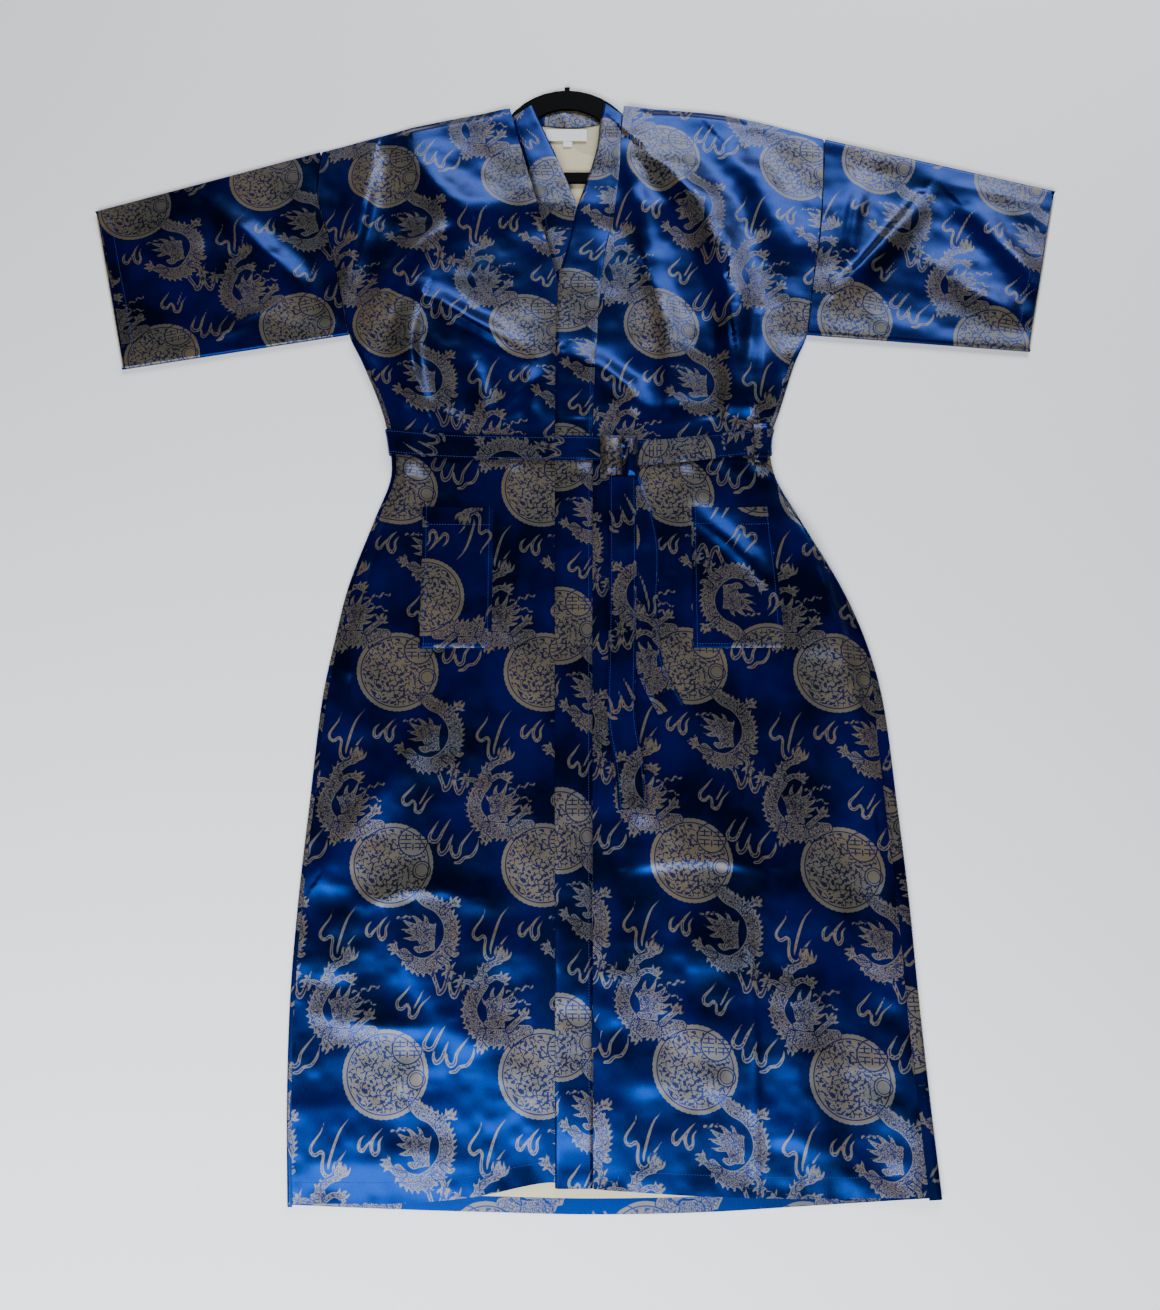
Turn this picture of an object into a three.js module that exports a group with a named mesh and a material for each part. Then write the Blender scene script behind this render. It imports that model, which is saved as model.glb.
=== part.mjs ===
import * as THREE from 'three';
import { mergeVertices } from 'three/addons/utils/BufferGeometryUtils.js';

// A kimono-style robe of figured satin, laid flat on its back with its belt tied, on a slim hanger.
// Millimetres. +X is the wearer's left, +Y runs from the hem to the neck, Z = 0 is what it lies on.

// Cloth, and how its layers stack up from the surface.
const WALL = 1.5;
const GAP = 0.3;
const LOW = WALL + GAP;
const OVER = LOW + WALL + GAP;
const CLEAR = 0.9;

// Middle of the length, from the hem of the back to the top of the hanger, on the tables' own scale.
const MIDDLE_Y = 2;

// Radius of the soft fold where the back comes round to the front, on the body and on the sleeves.
const SIDE_RADIUS = 3.4;
const ARMHOLE_RADIUS = 1.8;
const SLEEVE_RADIUS = 3.1;
const ROLL_STEPS = 4;
const SEAM_INSET = 3;
const LEFT_WRAP = 9;

// Body outline: for each level the two side edges, and above the armpits the two armholes.
const BODY = [
  { level: -674, right: -313, left: 399 },
  { level: -569, right: -319, left: 392 },
  { level: -464, right: -321, left: 386 },
  { level: -354, right: -317, left: 381 },
  { level: -241, right: -309, left: 373 },
  { level: -124, right: -300, left: 363 },
  { level: -52, right: -288, left: 346 },
  { level: 15, right: -274, left: 319 },
  { level: 97, right: -246, left: 274 },
  { level: 150, right: -228, left: 246 },
  { level: 195, right: -231, left: 240 },
  { level: 240, right: -243, left: 255 },
  { level: 300, right: -268, left: 275 },
  { level: 340, right: -287, left: 292 },
  { level: 410, right: -303, left: 303 },
  { level: 470, right: -318, left: 314 },
  { level: 538, right: -336, left: 322 },
  { level: 600, right: -334, left: 326 },
];
const HEM_LEVEL = -674;
const HEM_FADE_LEVEL = -500;
const ARMPIT_LEVEL = 340;
const TILT_LEVEL = 380;
const TOP_LEVEL = 600;

// Rows of the body's grids, closest together where the cloth is folded most.
const LEVELS = [
  -674, -630, -575, -510, -445, -385, -330, -280, -235, -190, -148, -105, -62, -20, 25, 68, 112,
  142, 162, 178, 195, 212, 228, 248, 272, 298, 322, 340, 368, 400, 432, 465, 498, 528, 552, 572, 588, 600,
];

// Columns of the back's grid either side of the neck, as their places at the shoulders.
const BACK_COLUMNS = { right: [-300, -230, -155], left: [135, 215, 290] };

// Shoulder line of both fronts and of the back.
const SHOULDER = [
  { x: -340, y: 595 },
  { x: -192, y: 637 },
  { x: -84, y: 657 },
  { x: 60, y: 661 },
  { x: 209, y: 647 },
  { x: 330, y: 614 },
];

// Hem of the fronts and of the back.
const FRONT_HEM = [
  { x: -320, y: -674 },
  { x: -190, y: -675 },
  { x: -110, y: -668 },
  { x: -30, y: -654 },
  { x: 10, y: -659 },
  { x: 127, y: -667 },
  { x: 252, y: -670 },
  { x: 400, y: -667 },
];
const BACK_HEM = [
  { x: -320, y: -677 },
  { x: -190, y: -682 },
  { x: -82, y: -685 },
  { x: 16, y: -687 },
  { x: 135, y: -685 },
  { x: 244, y: -679 },
  { x: 400, y: -670 },
];

// Front bands: the seam to the front, and the free edge.
const RIGHT_BAND = [
  { y: -700, seam: -15, edge: 30 },
  { y: 300, seam: -15, edge: 30 },
  { y: 380, seam: -18, edge: 28 },
  { y: 430, seam: -27, edge: 21 },
  { y: 478, seam: -40, edge: 12 },
  { y: 520, seam: -50, edge: 1 },
  { y: 560, seam: -61, edge: -15 },
  { y: 593, seam: -70, edge: -28 },
  { y: 622, seam: -78, edge: -41 },
  { y: 650, seam: -85, edge: -53 },
  { y: 675, seam: -92, edge: -64 },
];
const LEFT_BAND = [
  { y: -700, seam: 19, edge: -22 },
  { y: 213, seam: 21, edge: -26 },
  { y: 347, seam: 27, edge: -25 },
  { y: 402, seam: 31, edge: -23 },
  { y: 431, seam: 34, edge: -20 },
  { y: 457, seam: 38, edge: -12 },
  { y: 493, seam: 46, edge: -4 },
  { y: 514, seam: 50, edge: 1 },
  { y: 566, seam: 56, edge: 18 },
  { y: 600, seam: 58, edge: 27 },
  { y: 633, seam: 60, edge: 31 },
  { y: 660, seam: 62, edge: 36 },
  { y: 680, seam: 63, edge: 39 },
];
const BAND_HEM = { right: -651, left: -659 };
const BAND_EXTRA = 60;
const BAND_SLANT = 9;
const BAND_COLUMNS = 3;

// Band round the back of the neck, from the right shoulder to the left.
const NECK_BAND = [
  { seamX: -85, seamY: 652, edgeX: -62, edgeY: 671 },
  { seamX: -55, seamY: 640, edgeX: -42, edgeY: 680 },
  { seamX: -12, seamY: 634.5, edgeX: -12, edgeY: 684.5 },
  { seamX: 28, seamY: 639, edgeX: 16, edgeY: 681 },
  { seamX: 61, seamY: 655, edgeX: 38, edgeY: 671 },
];

// Sleeves: the two corners of each cuff, and how far the front of the cuff stops short of its back.
const SLEEVES = {
  right: { topX: -622.5, topY: 511, lowX: -570, lowY: 293, short: 10 },
  left: { topX: 622.5, topY: 540, lowX: 572, lowY: 317, short: 4 },
};
const SLEEVE_STATIONS = 15;

// Large folds: each is a ridge from one point to another, bent towards a third.
const FOLDS = [
  { fromX: -148, fromY: 488, bendX: -236, bendY: 458, toX: -258, toY: 348, width: 17, height: 14 },
  { fromX: -205, fromY: 394, bendX: -130, bendY: 352, toX: -38, toY: 306, width: 16, height: 10 },
  { fromX: -288, fromY: 566, bendX: -304, bendY: 470, toX: -276, toY: 374, width: 20, height: 9 },
  { fromX: -212, fromY: 604, bendX: -196, bendY: 545, toX: -128, toY: 500, width: 28, height: 10 },
  { fromX: -26, fromY: 266, bendX: -60, bendY: 238, toX: -112, toY: 226, width: 15, height: 9 },
  { fromX: -200, fromY: 330, bendX: -190, bendY: 280, toX: -150, toY: 236, width: 20, height: 9 },
  { fromX: 162, fromY: 636, bendX: 190, bendY: 480, toX: 236, toY: 318, width: 30, height: 20 },
  { fromX: 78, fromY: 620, bendX: 72, bendY: 540, toX: 112, toY: 440, width: 20, height: 8 },
  { fromX: 98, fromY: 430, bendX: 128, bendY: 350, toX: 122, toY: 240, width: 22, height: 10 },
  { fromX: 8, fromY: 300, bendX: 62, bendY: 284, toX: 84, toY: 224, width: 17, height: 11 },
  { fromX: 214, fromY: 330, bendX: 222, bendY: 280, toX: 200, toY: 230, width: 18, height: 10 },
  { fromX: -86, fromY: -66, bendX: -190, bendY: -176, toX: -288, toY: -322, width: 28, height: 11 },
  { fromX: 222, fromY: 138, bendX: 300, bendY: 10, toX: 336, toY: -210, width: 30, height: 13 },
  { fromX: -206, fromY: 146, bendX: -240, bendY: 50, toX: -258, toY: -90, width: 22, height: 11 },
  { fromX: 60, fromY: -150, bendX: 120, bendY: -300, toX: 110, toY: -470, width: 40, height: 6 },
  { fromX: -210, fromY: -380, bendX: -160, bendY: -470, toX: -60, toY: -560, width: 40, height: 6 },
  { fromX: 300, fromY: -330, bendX: 240, bendY: -450, toX: 250, toY: -600, width: 40, height: 7 },
  { fromX: -472, fromY: 520, bendX: -410, bendY: 480, toX: -345, toY: 412, width: 17, height: 9 },
  { fromX: -352, fromY: 480, bendX: -380, bendY: 400, toX: -430, toY: 350, width: 18, height: 6 },
  { fromX: 452, fromY: 545, bendX: 380, bendY: 470, toX: 330, toY: 398, width: 17, height: 11 },
  { fromX: 500, fromY: 530, bendX: 560, bendY: 470, toX: 555, toY: 380, width: 24, height: 7 },
];
const FOLD_SAMPLES = 14;

// Gathers that spread from the belt, above and below it.
const GATHERS_BELOW = { count: 11, first: -196, last: 208, near: 14, far: 100, width: 12, height: 6 };
const GATHERS_ABOVE = { count: 9, first: -200, last: 208, near: 16, far: 74, width: 12, height: 5 };

// Belt: its centre line across the front, then straight across the back.
const BELT = [
  { x: -236, y: 195 },
  { x: -150, y: 190 },
  { x: -60, y: 188 },
  { x: 30, y: 186 },
  { x: 76, y: 182 },
  { x: 120, y: 184 },
  { x: 170, y: 190 },
  { x: 240, y: 195 },
];
const BELT_Y = 195;
const BELT_WIDTH = 32;
const BELT_SQUEEZE = 0.9;
const BELT_STEP = 12;
const BELT_TURN_STEPS = 6;
const BELT_BACK = [-150, -50, 50, 150];
const SIDE_CLEAR = 1.7;
const KNOT = { x: 53, y: 176, width: 46, length: 54, height: 15 };

// Free ends of the belt, from the knot to the tip.
const END_OVER = [
  { x: 57, y: 148 },
  { x: 57, y: 96 },
  { x: 57, y: 40 },
  { x: 55, y: -64 },
  { x: 54, y: -148 },
  { x: 62, y: -200 },
  { x: 66, y: -252 },
];
const END_UNDER = [
  { x: 62, y: 148 },
  { x: 76, y: 104 },
  { x: 84, y: 60 },
  { x: 82, y: -20 },
  { x: 88, y: -84 },
  { x: 112, y: -136 },
];
const END_WIDTH = 33;
const END_STEPS = 24;
const END_SHARES = [-0.5, -0.17, 0.17, 0.5];

// Columns of the fronts' grids, from the band out: evenly spaced ones, then ones that share the rest.
const COLUMN_PITCH = 17.2;
const FRONT_COLUMNS = {
  right: { even: 10, rest: 5 },
  left: { even: 12, rest: 5 },
};

// Patch pockets, as stretches of the grid of the front that they are sewn to.
const POCKETS = {
  right: { firstColumn: 5, lastColumn: 10, lowLevel: -62, topLevel: 112 },
  left: { firstColumn: 7, lastColumn: 13, lowLevel: -62, topLevel: 112 },
};

const LOOP = { x: 227, width: 16, lowY: 168, topY: 222, steps: 10 };
const LABEL = { lowX: -40, highX: 14, lowY: 614, highY: 631, thickness: 1 };
const SIZE_TAB = { lowX: -17, highX: -5, lowY: 606, highY: 613.7, thickness: 1 };

// Slim hanger that was left in the robe: arch at the neck, arms in the shoulders, bar below.
const HANGER = {
  x: -12,
  apexY: 686,
  archRadius: 93,
  archHalf: 78,
  archWidth: 27,
  innerHalf: 50,
  halfSpan: 200,
  tipY: 598,
  armWidth: 20,
  armSlope: 12,
  archSteps: 12,
  barLowY: 552,
  barWidth: 14,
  thickness: 4,
  socketWidth: 7,
  socketLength: 5,
};
const HANGER_LIFT = HANGER.thickness + GAP + 0.1;

const BLUE = 0x0a2fa8;
const WHITE = 0xf2f2ee;
const BLACK = 0x111114;
const clamp = THREE.MathUtils.clamp;
const lerp = THREE.MathUtils.lerp;
const smooth = (value, low, high) => THREE.MathUtils.smoothstep(value, low, high);

// A column of a table at a place between its rows, on a smooth curve through them.
function read(rows, by, key, at) {
  const last = rows.length - 1;
  const place = clamp(at, rows[0][by], rows[last][by]);
  let i = 0;
  while (i < last - 1 && rows[i + 1][by] < place) i += 1;
  const slope = (k) => {
    const low = Math.max(k - 1, 0);
    const high = Math.min(k + 1, last);
    return (rows[high][key] - rows[low][key]) / (rows[high][by] - rows[low][by]);
  };
  const span = rows[i + 1][by] - rows[i][by];
  const t = (place - rows[i][by]) / span;
  const a = rows[i][key];
  const b = rows[i + 1][key];
  const bend = t * (1 - t) * ((1 - t) * (slope(i) * span - (b - a)) - t * (slope(i + 1) * span - (b - a)));
  return lerp(a, b, t) + bend;
}

// 1 near the middle of a strip across y, 0 outside it.
const strip = (y, middle, inner, outer) => 1 - smooth(Math.abs(y - middle), inner, outer);

// Ridges of the folds, with the points along each worked out once.
const foldCurves = FOLDS.map((fold) => {
  const curve = new THREE.QuadraticBezierCurve(
    new THREE.Vector2(fold.fromX, fold.fromY),
    new THREE.Vector2(fold.bendX, fold.bendY),
    new THREE.Vector2(fold.toX, fold.toY),
  );
  return { fold, points: curve.getPoints(FOLD_SAMPLES) };
});

function ridge({ fold, points }, x, y) {
  let nearest = Infinity;
  let place = 0;
  for (let i = 0; i < points.length - 1; i += 1) {
    const a = points[i];
    const b = points[i + 1];
    const length2 = (b.x - a.x) ** 2 + (b.y - a.y) ** 2;
    const t = clamp(((x - a.x) * (b.x - a.x) + (y - a.y) * (b.y - a.y)) / length2, 0, 1);
    const distance = Math.hypot(x - lerp(a.x, b.x, t), y - lerp(a.y, b.y, t));
    if (distance < nearest) {
      nearest = distance;
      place = (i + t) / (points.length - 1);
    }
  }
  const taper = Math.sin(Math.PI * lerp(0.12, 0.88, place));
  return fold.height * taper * Math.exp(-((nearest / fold.width) ** 2));
}

function gathers(row, side, x, y) {
  const away = side * (y - BELT_Y);
  if (away < 0) return 0;
  let height = 0;
  for (let i = 0; i < row.count; i += 1) {
    const start = lerp(row.first, row.last, i / (row.count - 1));
    const reach = row.far * (0.72 + 0.28 * Math.sin(2.4 * i + 1));
    const centre = start * (1 + 0.12 * (away / row.far));
    const across = Math.exp(-(((x - centre) / row.width) ** 2));
    const along = smooth(away, 0, row.near + 8) * (1 - smooth(away, row.near + 10, reach));
    height += row.height * across * along;
  }
  return height;
}

// How far the folds raise the topmost cloth at a point.
function foldHeight(x, y) {
  let height = 0;
  for (const curve of foldCurves) height += ridge(curve, x, y);
  if (Math.abs(x) < 262) height += gathers(GATHERS_BELOW, -1, x, y) + gathers(GATHERS_ABOVE, 1, x, y);
  return height * (1 - BELT_SQUEEZE * strip(y, BELT_Y, 22, 48));
}

const backLift = (y) => (WALL + GAP) * strip(y, BELT_Y, 19, 44);

function hangerLift(x, y) {
  const across = 1 - smooth(Math.abs(x - HANGER.x), HANGER.halfSpan + 5, HANGER.halfSpan + 42);
  return HANGER_LIFT * across * smooth(y, HANGER.barLowY - 70, HANGER.barLowY - 30);
}

function sideRadius(level) {
  const share = smooth(level, ARMPIT_LEVEL - 30, ARMPIT_LEVEL + 10);
  return lerp(SIDE_RADIUS, ARMHOLE_RADIUS, share);
}

const leftWrap = (level) => SEAM_INSET + LEFT_WRAP * (1 - smooth(level, -190, -60));

const shoulderY = (x) => read(SHOULDER, 'x', 'y', x);

// Position along Y of a body row at x: level rows low down, parallel to the shoulders at the top.
function rowY(level, x, hem = FRONT_HEM, topEdge = shoulderY) {
  const towardsTop = smooth(level, TILT_LEVEL, TOP_LEVEL) * (topEdge(x) - TOP_LEVEL);
  const towardsHem = (1 - smooth(level, HEM_LEVEL, HEM_FADE_LEVEL)) * (read(hem, 'x', 'y', x) - HEM_LEVEL);
  return level + towardsTop + towardsHem;
}

// The body's side edge at a level, on the straight stretch between two rows of its grid.
function bodyEdge(side, level) {
  let i = 0;
  while (i < LEVELS.length - 2 && LEVELS[i + 1] < level) i += 1;
  const t = (level - LEVELS[i]) / (LEVELS[i + 1] - LEVELS[i]);
  const [a, b] = [LEVELS[i], LEVELS[i + 1]].map((row) => {
    const x = read(BODY, 'level', side, row);
    return { x, y: rowY(row, x) };
  });
  return { x: lerp(a.x, b.x, t), y: lerp(a.y, b.y, t) };
}

// Underside of the cloth of each front, before its thickness.
function restHeight(x, y, edgeDistance, edgeHeight) {
  const edgeRise = (edgeHeight - WALL - LOW) * Math.exp(-((edgeDistance / 30) ** 2));
  return LOW + backLift(y) + hangerLift(x, y) + edgeRise;
}

// Extra height where the left front lies over the right front and its band.
function overlapLift(x, y) {
  const reach = read(RIGHT_BAND, 'y', 'edge', y);
  return (OVER - LOW) * (1 - smooth(x, reach + 6, reach + 36));
}

// How much of its folds the right front keeps: none where it runs under the left band.
const underFade = (x, y) => {
  const cover = read(LEFT_BAND, 'y', 'edge', y);
  return 1 - smooth(x, cover - 34, cover - 6);
};

const slopeFactor = (heightAt, x, y) => {
  const step = 2;
  const dx = (heightAt(x + step, y) - heightAt(x - step, y)) / (2 * step);
  const dy = (heightAt(x, y + step) - heightAt(x, y - step)) / (2 * step);
  return Math.min(Math.hypot(1, dx, dy), 1.5);
};

// A closed wall between two grids of points. A ring also joins its last column to its first.
function wall(name, color, upper, lower, ring = false) {
  const rows = upper.length;
  const columns = upper[0].length;
  const positions = [];
  for (const grid of [upper, lower]) {
    for (const row of grid) {
      for (const point of row) positions.push(point.x, point.y, point.z);
    }
  }
  const top = (r, c) => r * columns + (c % columns);
  const under = (r, c) => rows * columns + top(r, c);
  const index = [];
  const quad = (a, b, c, d) => index.push(a, b, c, a, c, d);
  const spans = ring ? columns : columns - 1;
  for (let r = 0; r < rows - 1; r += 1) {
    for (let c = 0; c < spans; c += 1) {
      quad(top(r, c), top(r, c + 1), top(r + 1, c + 1), top(r + 1, c));
      quad(under(r, c), under(r + 1, c), under(r + 1, c + 1), under(r, c + 1));
    }
    if (!ring) {
      quad(top(r, 0), top(r + 1, 0), under(r + 1, 0), under(r, 0));
      quad(top(r, columns - 1), under(r, columns - 1), under(r + 1, columns - 1), top(r + 1, columns - 1));
    }
  }
  for (let c = 0; c < spans; c += 1) {
    quad(top(0, c), under(0, c), under(0, c + 1), top(0, c + 1));
    quad(top(rows - 1, c), top(rows - 1, c + 1), under(rows - 1, c + 1), under(rows - 1, c));
  }
  const geometry = new THREE.BufferGeometry();
  geometry.setAttribute('position', new THREE.Float32BufferAttribute(positions, 3));
  geometry.setIndex(facingOut(positions, index));
  geometry.computeVertexNormals();
  return named(name, geometry, color);
}

// Turns every face round if the closed shape would have a negative volume.
function facingOut(positions, index) {
  const corner = (i) => new THREE.Vector3().fromArray(positions, 3 * index[i]);
  let volume = 0;
  for (let i = 0; i < index.length; i += 3) {
    volume += corner(i).dot(corner(i + 1).cross(corner(i + 2)));
  }
  if (volume > 0) return index;
  const turned = [];
  for (let i = 0; i < index.length; i += 3) turned.push(index[i], index[i + 2], index[i + 1]);
  return turned;
}

function named(name, geometry, color, roughness = 0.4) {
  const mesh = new THREE.Mesh(geometry, new THREE.MeshStandardMaterial({ color, roughness, metalness: 0 }));
  mesh.name = name;
  return mesh;
}

const point = (x, y, z) => new THREE.Vector3(x, y, z);
const raised = (grid, by) => grid.map((row) => row.map((p) => point(p.x, p.y, p.z + by)));

// Back: flat on the surface, both sides rolled round to meet the fronts.
function makeBack() {
  const neckRight = NECK_BAND[0].seamX;
  const neckLeft = NECK_BAND[NECK_BAND.length - 1].seamX;
  const top = BODY[BODY.length - 1];
  const columns = [...BACK_COLUMNS.right, ...NECK_BAND.map((row) => row.seamX), ...BACK_COLUMNS.left];
  const shares = columns.map((x) => (x - top.right) / (top.left - top.right));
  const topEdge = (x) => {
    const inNeck = x > neckRight - 1 && x < neckLeft + 1;
    return inNeck ? read(NECK_BAND, 'seamX', 'seamY', x) - GAP : shoulderY(x);
  };
  const rowOf = (level, r) => {
    const radius = sideRadius(level);
    const right = read(BODY, 'level', 'right', level) + radius;
    const left = read(BODY, 'level', 'left', level) - radius;
    const roll = Array.from({ length: ROLL_STEPS + 1 }, (_, i) => (Math.PI * i) / ROLL_STEPS);
    const section = [
      { x: right + SEAM_INSET, rise: r },
      ...roll.map((angle) => ({ x: right - r * Math.sin(angle), rise: r * Math.cos(angle) })),
      ...shares.map((share) => ({ x: lerp(right, left, share), rise: -r })),
      ...roll.map((angle) => ({ x: left + r * Math.sin(angle), rise: -r * Math.cos(angle) })),
      { x: left - leftWrap(level), rise: r },
    ];
    return section.map(({ x, rise }) => {
      const y = rowY(level, x, BACK_HEM, topEdge);
      return point(x, y, radius + rise + backLift(y));
    });
  };
  const outer = LEVELS.map((level) => rowOf(level, sideRadius(level)));
  const inner = LEVELS.map((level) => rowOf(level, sideRadius(level) - WALL));
  return wall('back', BLUE, outer, inner);
}

// Underside of the right front at a point, and of the left front.
function rightHeight(x, y, edgeDistance, edgeHeight) {
  return restHeight(x, y, edgeDistance, edgeHeight) + foldHeight(x, y) * underFade(x, y);
}

function leftHeight(x, y, edgeDistance, edgeHeight) {
  return restHeight(x, y, edgeDistance, edgeHeight) + foldHeight(x, y) + overlapLift(x, y);
}

// Grids of a front: columns run from the seam of its band out to the side seam and armhole.
function frontGrids(side) {
  const isRight = side === 'right';
  const band = isRight ? RIGHT_BAND : LEFT_BAND;
  const outward = isRight ? -1 : 1;
  const heightOf = isRight ? rightHeight : leftHeight;
  const { even, rest } = FRONT_COLUMNS[side];
  const lower = [];
  const upper = [];
  for (const level of LEVELS) {
    const radius = sideRadius(level);
    const inset = isRight ? SEAM_INSET : leftWrap(level);
    const outerX = read(BODY, 'level', side, level) - outward * (radius + inset + GAP);
    const innerX = seamX(band, level) + outward * GAP;
    const lastEven = innerX + outward * even * COLUMN_PITCH;
    const heightAt = (x, y) => heightOf(x, y, Math.abs(x - outerX), 2 * radius);
    const lowerRow = [];
    const upperRow = [];
    for (let c = 0; c <= even + rest; c += 1) {
      const x = c <= even ? lerp(innerX, lastEven, c / even) : lerp(lastEven, outerX, (c - even) / rest);
      const y = rowY(level, x);
      const z = LOW + (heightAt(x, y) - LOW) * shoulderShare(level, x);
      lowerRow.push(point(x, y, z));
      upperRow.push(point(x, y, z + WALL * slopeFactor(heightAt, x, y)));
    }
    lower.push(lowerRow);
    upper.push(upperRow);
  }
  return { lower, upper };
}

// The seam of a band where a body row meets it, found in a few passes.
function seamX(band, level) {
  let x = read(band, 'y', 'seam', level);
  for (let pass = 0; pass < 4; pass += 1) x = read(band, 'y', 'seam', rowY(level, x));
  return x;
}

// The fronts come down to the back along the shoulder seam, but not where the hanger's arch passes.
function shoulderShare(level, x) {
  if (level < TOP_LEVEL) return 1;
  return lerp(1, 0.3, smooth(Math.abs(x - HANGER.x), HANGER.archHalf + 2, HANGER.archHalf + 42));
}

// Top of a front at a point away from its side edge.
function frontTop(x, y) {
  const radius = sideRadius(y);
  const isLeft = x > read(LEFT_BAND, 'y', 'edge', y);
  const side = isLeft ? 'left' : 'right';
  const inset = radius + (isLeft ? leftWrap(y) : SEAM_INSET);
  const distance = Math.max(Math.abs(read(BODY, 'level', side, y) - x) - inset, 0);
  const heightOf = isLeft ? leftHeight : rightHeight;
  return heightOf(x, y, distance, 2 * radius) + WALL * 1.05;
}

// Highest front cloth near a point, with room for the facets of the solids.
function restingTop(x, y, room = CLEAR) {
  let highest = 0;
  for (const [dx, dy] of [[0, 0], [6, 0], [-6, 0], [0, 6], [0, -6]]) {
    highest = Math.max(highest, frontTop(x + dx, y + dy));
  }
  return highest + room;
}

// A sleeve: one piece of cloth closed into a flat tube, open at the armhole and the cuff.
function makeSleeve(side) {
  const { topX, topY, lowX, lowY, short } = SLEEVES[side];
  const outward = side === 'right' ? -1 : 1;
  const cuff = new THREE.Vector2(lowX - topX, lowY - topY);
  const cuffWidth = cuff.length();
  const down = cuff.clone().normalize();
  const armholeLevels = LEVELS.filter((level) => level >= ARMPIT_LEVEL).reverse();
  const shares = armholeLevels.map((level) => (TOP_LEVEL - level) / (TOP_LEVEL - ARMPIT_LEVEL));
  const armhole = (share) => {
    const edge = bodyEdge(side, lerp(TOP_LEVEL, ARMPIT_LEVEL, share));
    return new THREE.Vector2(edge.x + outward * GAP, edge.y);
  };
  const armholeWidth = armhole(0).distanceTo(armhole(1));

  const section = (station, r, thickness) => {
    const along = station / SLEEVE_STATIONS;
    const width = lerp(armholeWidth, cuffWidth, along);
    const frontEnd = station === SLEEVE_STATIONS ? short : 0;
    const across = shares.map((share) => clamp(share * width, SLEEVE_RADIUS, width - SLEEVE_RADIUS));
    const place = (distance, beyond, stop) => {
      const from = armhole(distance / width);
      const to = new THREE.Vector2(topX, topY).addScaledVector(cuff, distance / width);
      const spot = from.clone().lerp(to, along - stop / from.distanceTo(to));
      return spot.addScaledVector(down, beyond);
    };
    const under = across.map((distance) => {
      const p = place(distance, 0, 0);
      return point(p.x, p.y, SLEEVE_RADIUS - r);
    });
    const over = across.map((distance) => {
      const p = place(distance, 0, frontEnd);
      const edge = Math.min(distance, width - distance) - SLEEVE_RADIUS;
      const z = sleeveHeight(p.x, p.y, edge);
      const heightAt = (x, y) => sleeveHeight(x, y, edge);
      return point(p.x, p.y, z + thickness * slopeFactor(heightAt, p.x, p.y));
    });
    const roll = (distance, way) => Array.from({ length: ROLL_STEPS - 1 }, (_, i) => {
      const angle = (Math.PI * (i + 1)) / ROLL_STEPS;
      const p = place(distance, way * r * Math.sin(angle), 0);
      return point(p.x, p.y, SLEEVE_RADIUS - way * r * Math.cos(angle));
    });
    return [...under, ...roll(width - SLEEVE_RADIUS, 1), ...over.reverse(), ...roll(SLEEVE_RADIUS, -1)];
  };
  const stations = Array.from({ length: SLEEVE_STATIONS + 1 }, (_, i) => i);
  const outer = stations.map((station) => section(station, SLEEVE_RADIUS, WALL));
  const inner = stations.map((station) => section(station, SLEEVE_RADIUS - WALL, 0));
  return wall(`sleeve_${side}`, BLUE, outer, inner, true);
}

// Underside of a sleeve's upper cloth, at a distance in from its top or underarm edge.
function sleeveHeight(x, y, edge) {
  const edgeRise = (2 * SLEEVE_RADIUS - WALL - LOW) * Math.exp(-((edge / 22) ** 2));
  return LOW + edgeRise + foldHeight(x, y) * smooth(edge, 0, 26);
}

// A front band, from its hem to the shoulder, in line with the front that it finishes.
function makeBand(side) {
  const rows = side === 'right' ? RIGHT_BAND : LEFT_BAND;
  const heightOf = side === 'right' ? rightHeight : leftHeight;
  const heightAt = (x, y) => heightOf(x, y, Infinity, 2 * SIDE_RADIUS);
  const lower = [];
  const upper = [];
  for (const level of LEVELS) {
    const y = Math.max(level + BAND_EXTRA * smooth(level, TILT_LEVEL, TOP_LEVEL), BAND_HEM[side]);
    const slant = BAND_SLANT * smooth(y, 560, TOP_LEVEL + BAND_EXTRA);
    const points = Array.from({ length: BAND_COLUMNS + 1 }, (_, c) => {
      const across = c / BAND_COLUMNS;
      const py = y + lerp(-slant, slant, across);
      return { x: lerp(read(rows, 'y', 'seam', py), read(rows, 'y', 'edge', py), across), y: py };
    });
    lower.push(points.map((p) => point(p.x, p.y, heightAt(p.x, p.y))));
    upper.push(points.map((p) => {
      const thickness = WALL * slopeFactor(heightAt, p.x, p.y);
      return point(p.x, p.y, heightAt(p.x, p.y) + thickness);
    }));
  }
  return wall(`band_${side}`, BLUE, upper, lower);
}

// The same band behind the neck, where its inner face shows.
function makeNeckBand() {
  const lower = NECK_BAND.map(({ seamX: fromX, seamY, edgeX, edgeY }) => (
    Array.from({ length: BAND_COLUMNS + 1 }, (_, c) => {
      const across = c / BAND_COLUMNS;
      return point(lerp(fromX, edgeX, across), lerp(seamY, edgeY, across), 0);
    })
  ));
  return wall('band_neck', BLUE, raised(lower, WALL), lower);
}

// A patch pocket: the points of the front under it, moved out.
function makePocket(side, upper) {
  const { firstColumn, lastColumn, lowLevel, topLevel } = POCKETS[side];
  const firstRow = LEVELS.indexOf(lowLevel);
  const lastRow = LEVELS.indexOf(topLevel);
  const patch = upper.slice(firstRow, lastRow + 1).map((row) => row.slice(firstColumn, lastColumn + 1));
  return wall(`pocket_${side}`, BLUE, raised(patch, GAP + WALL), raised(patch, GAP));
}

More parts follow.
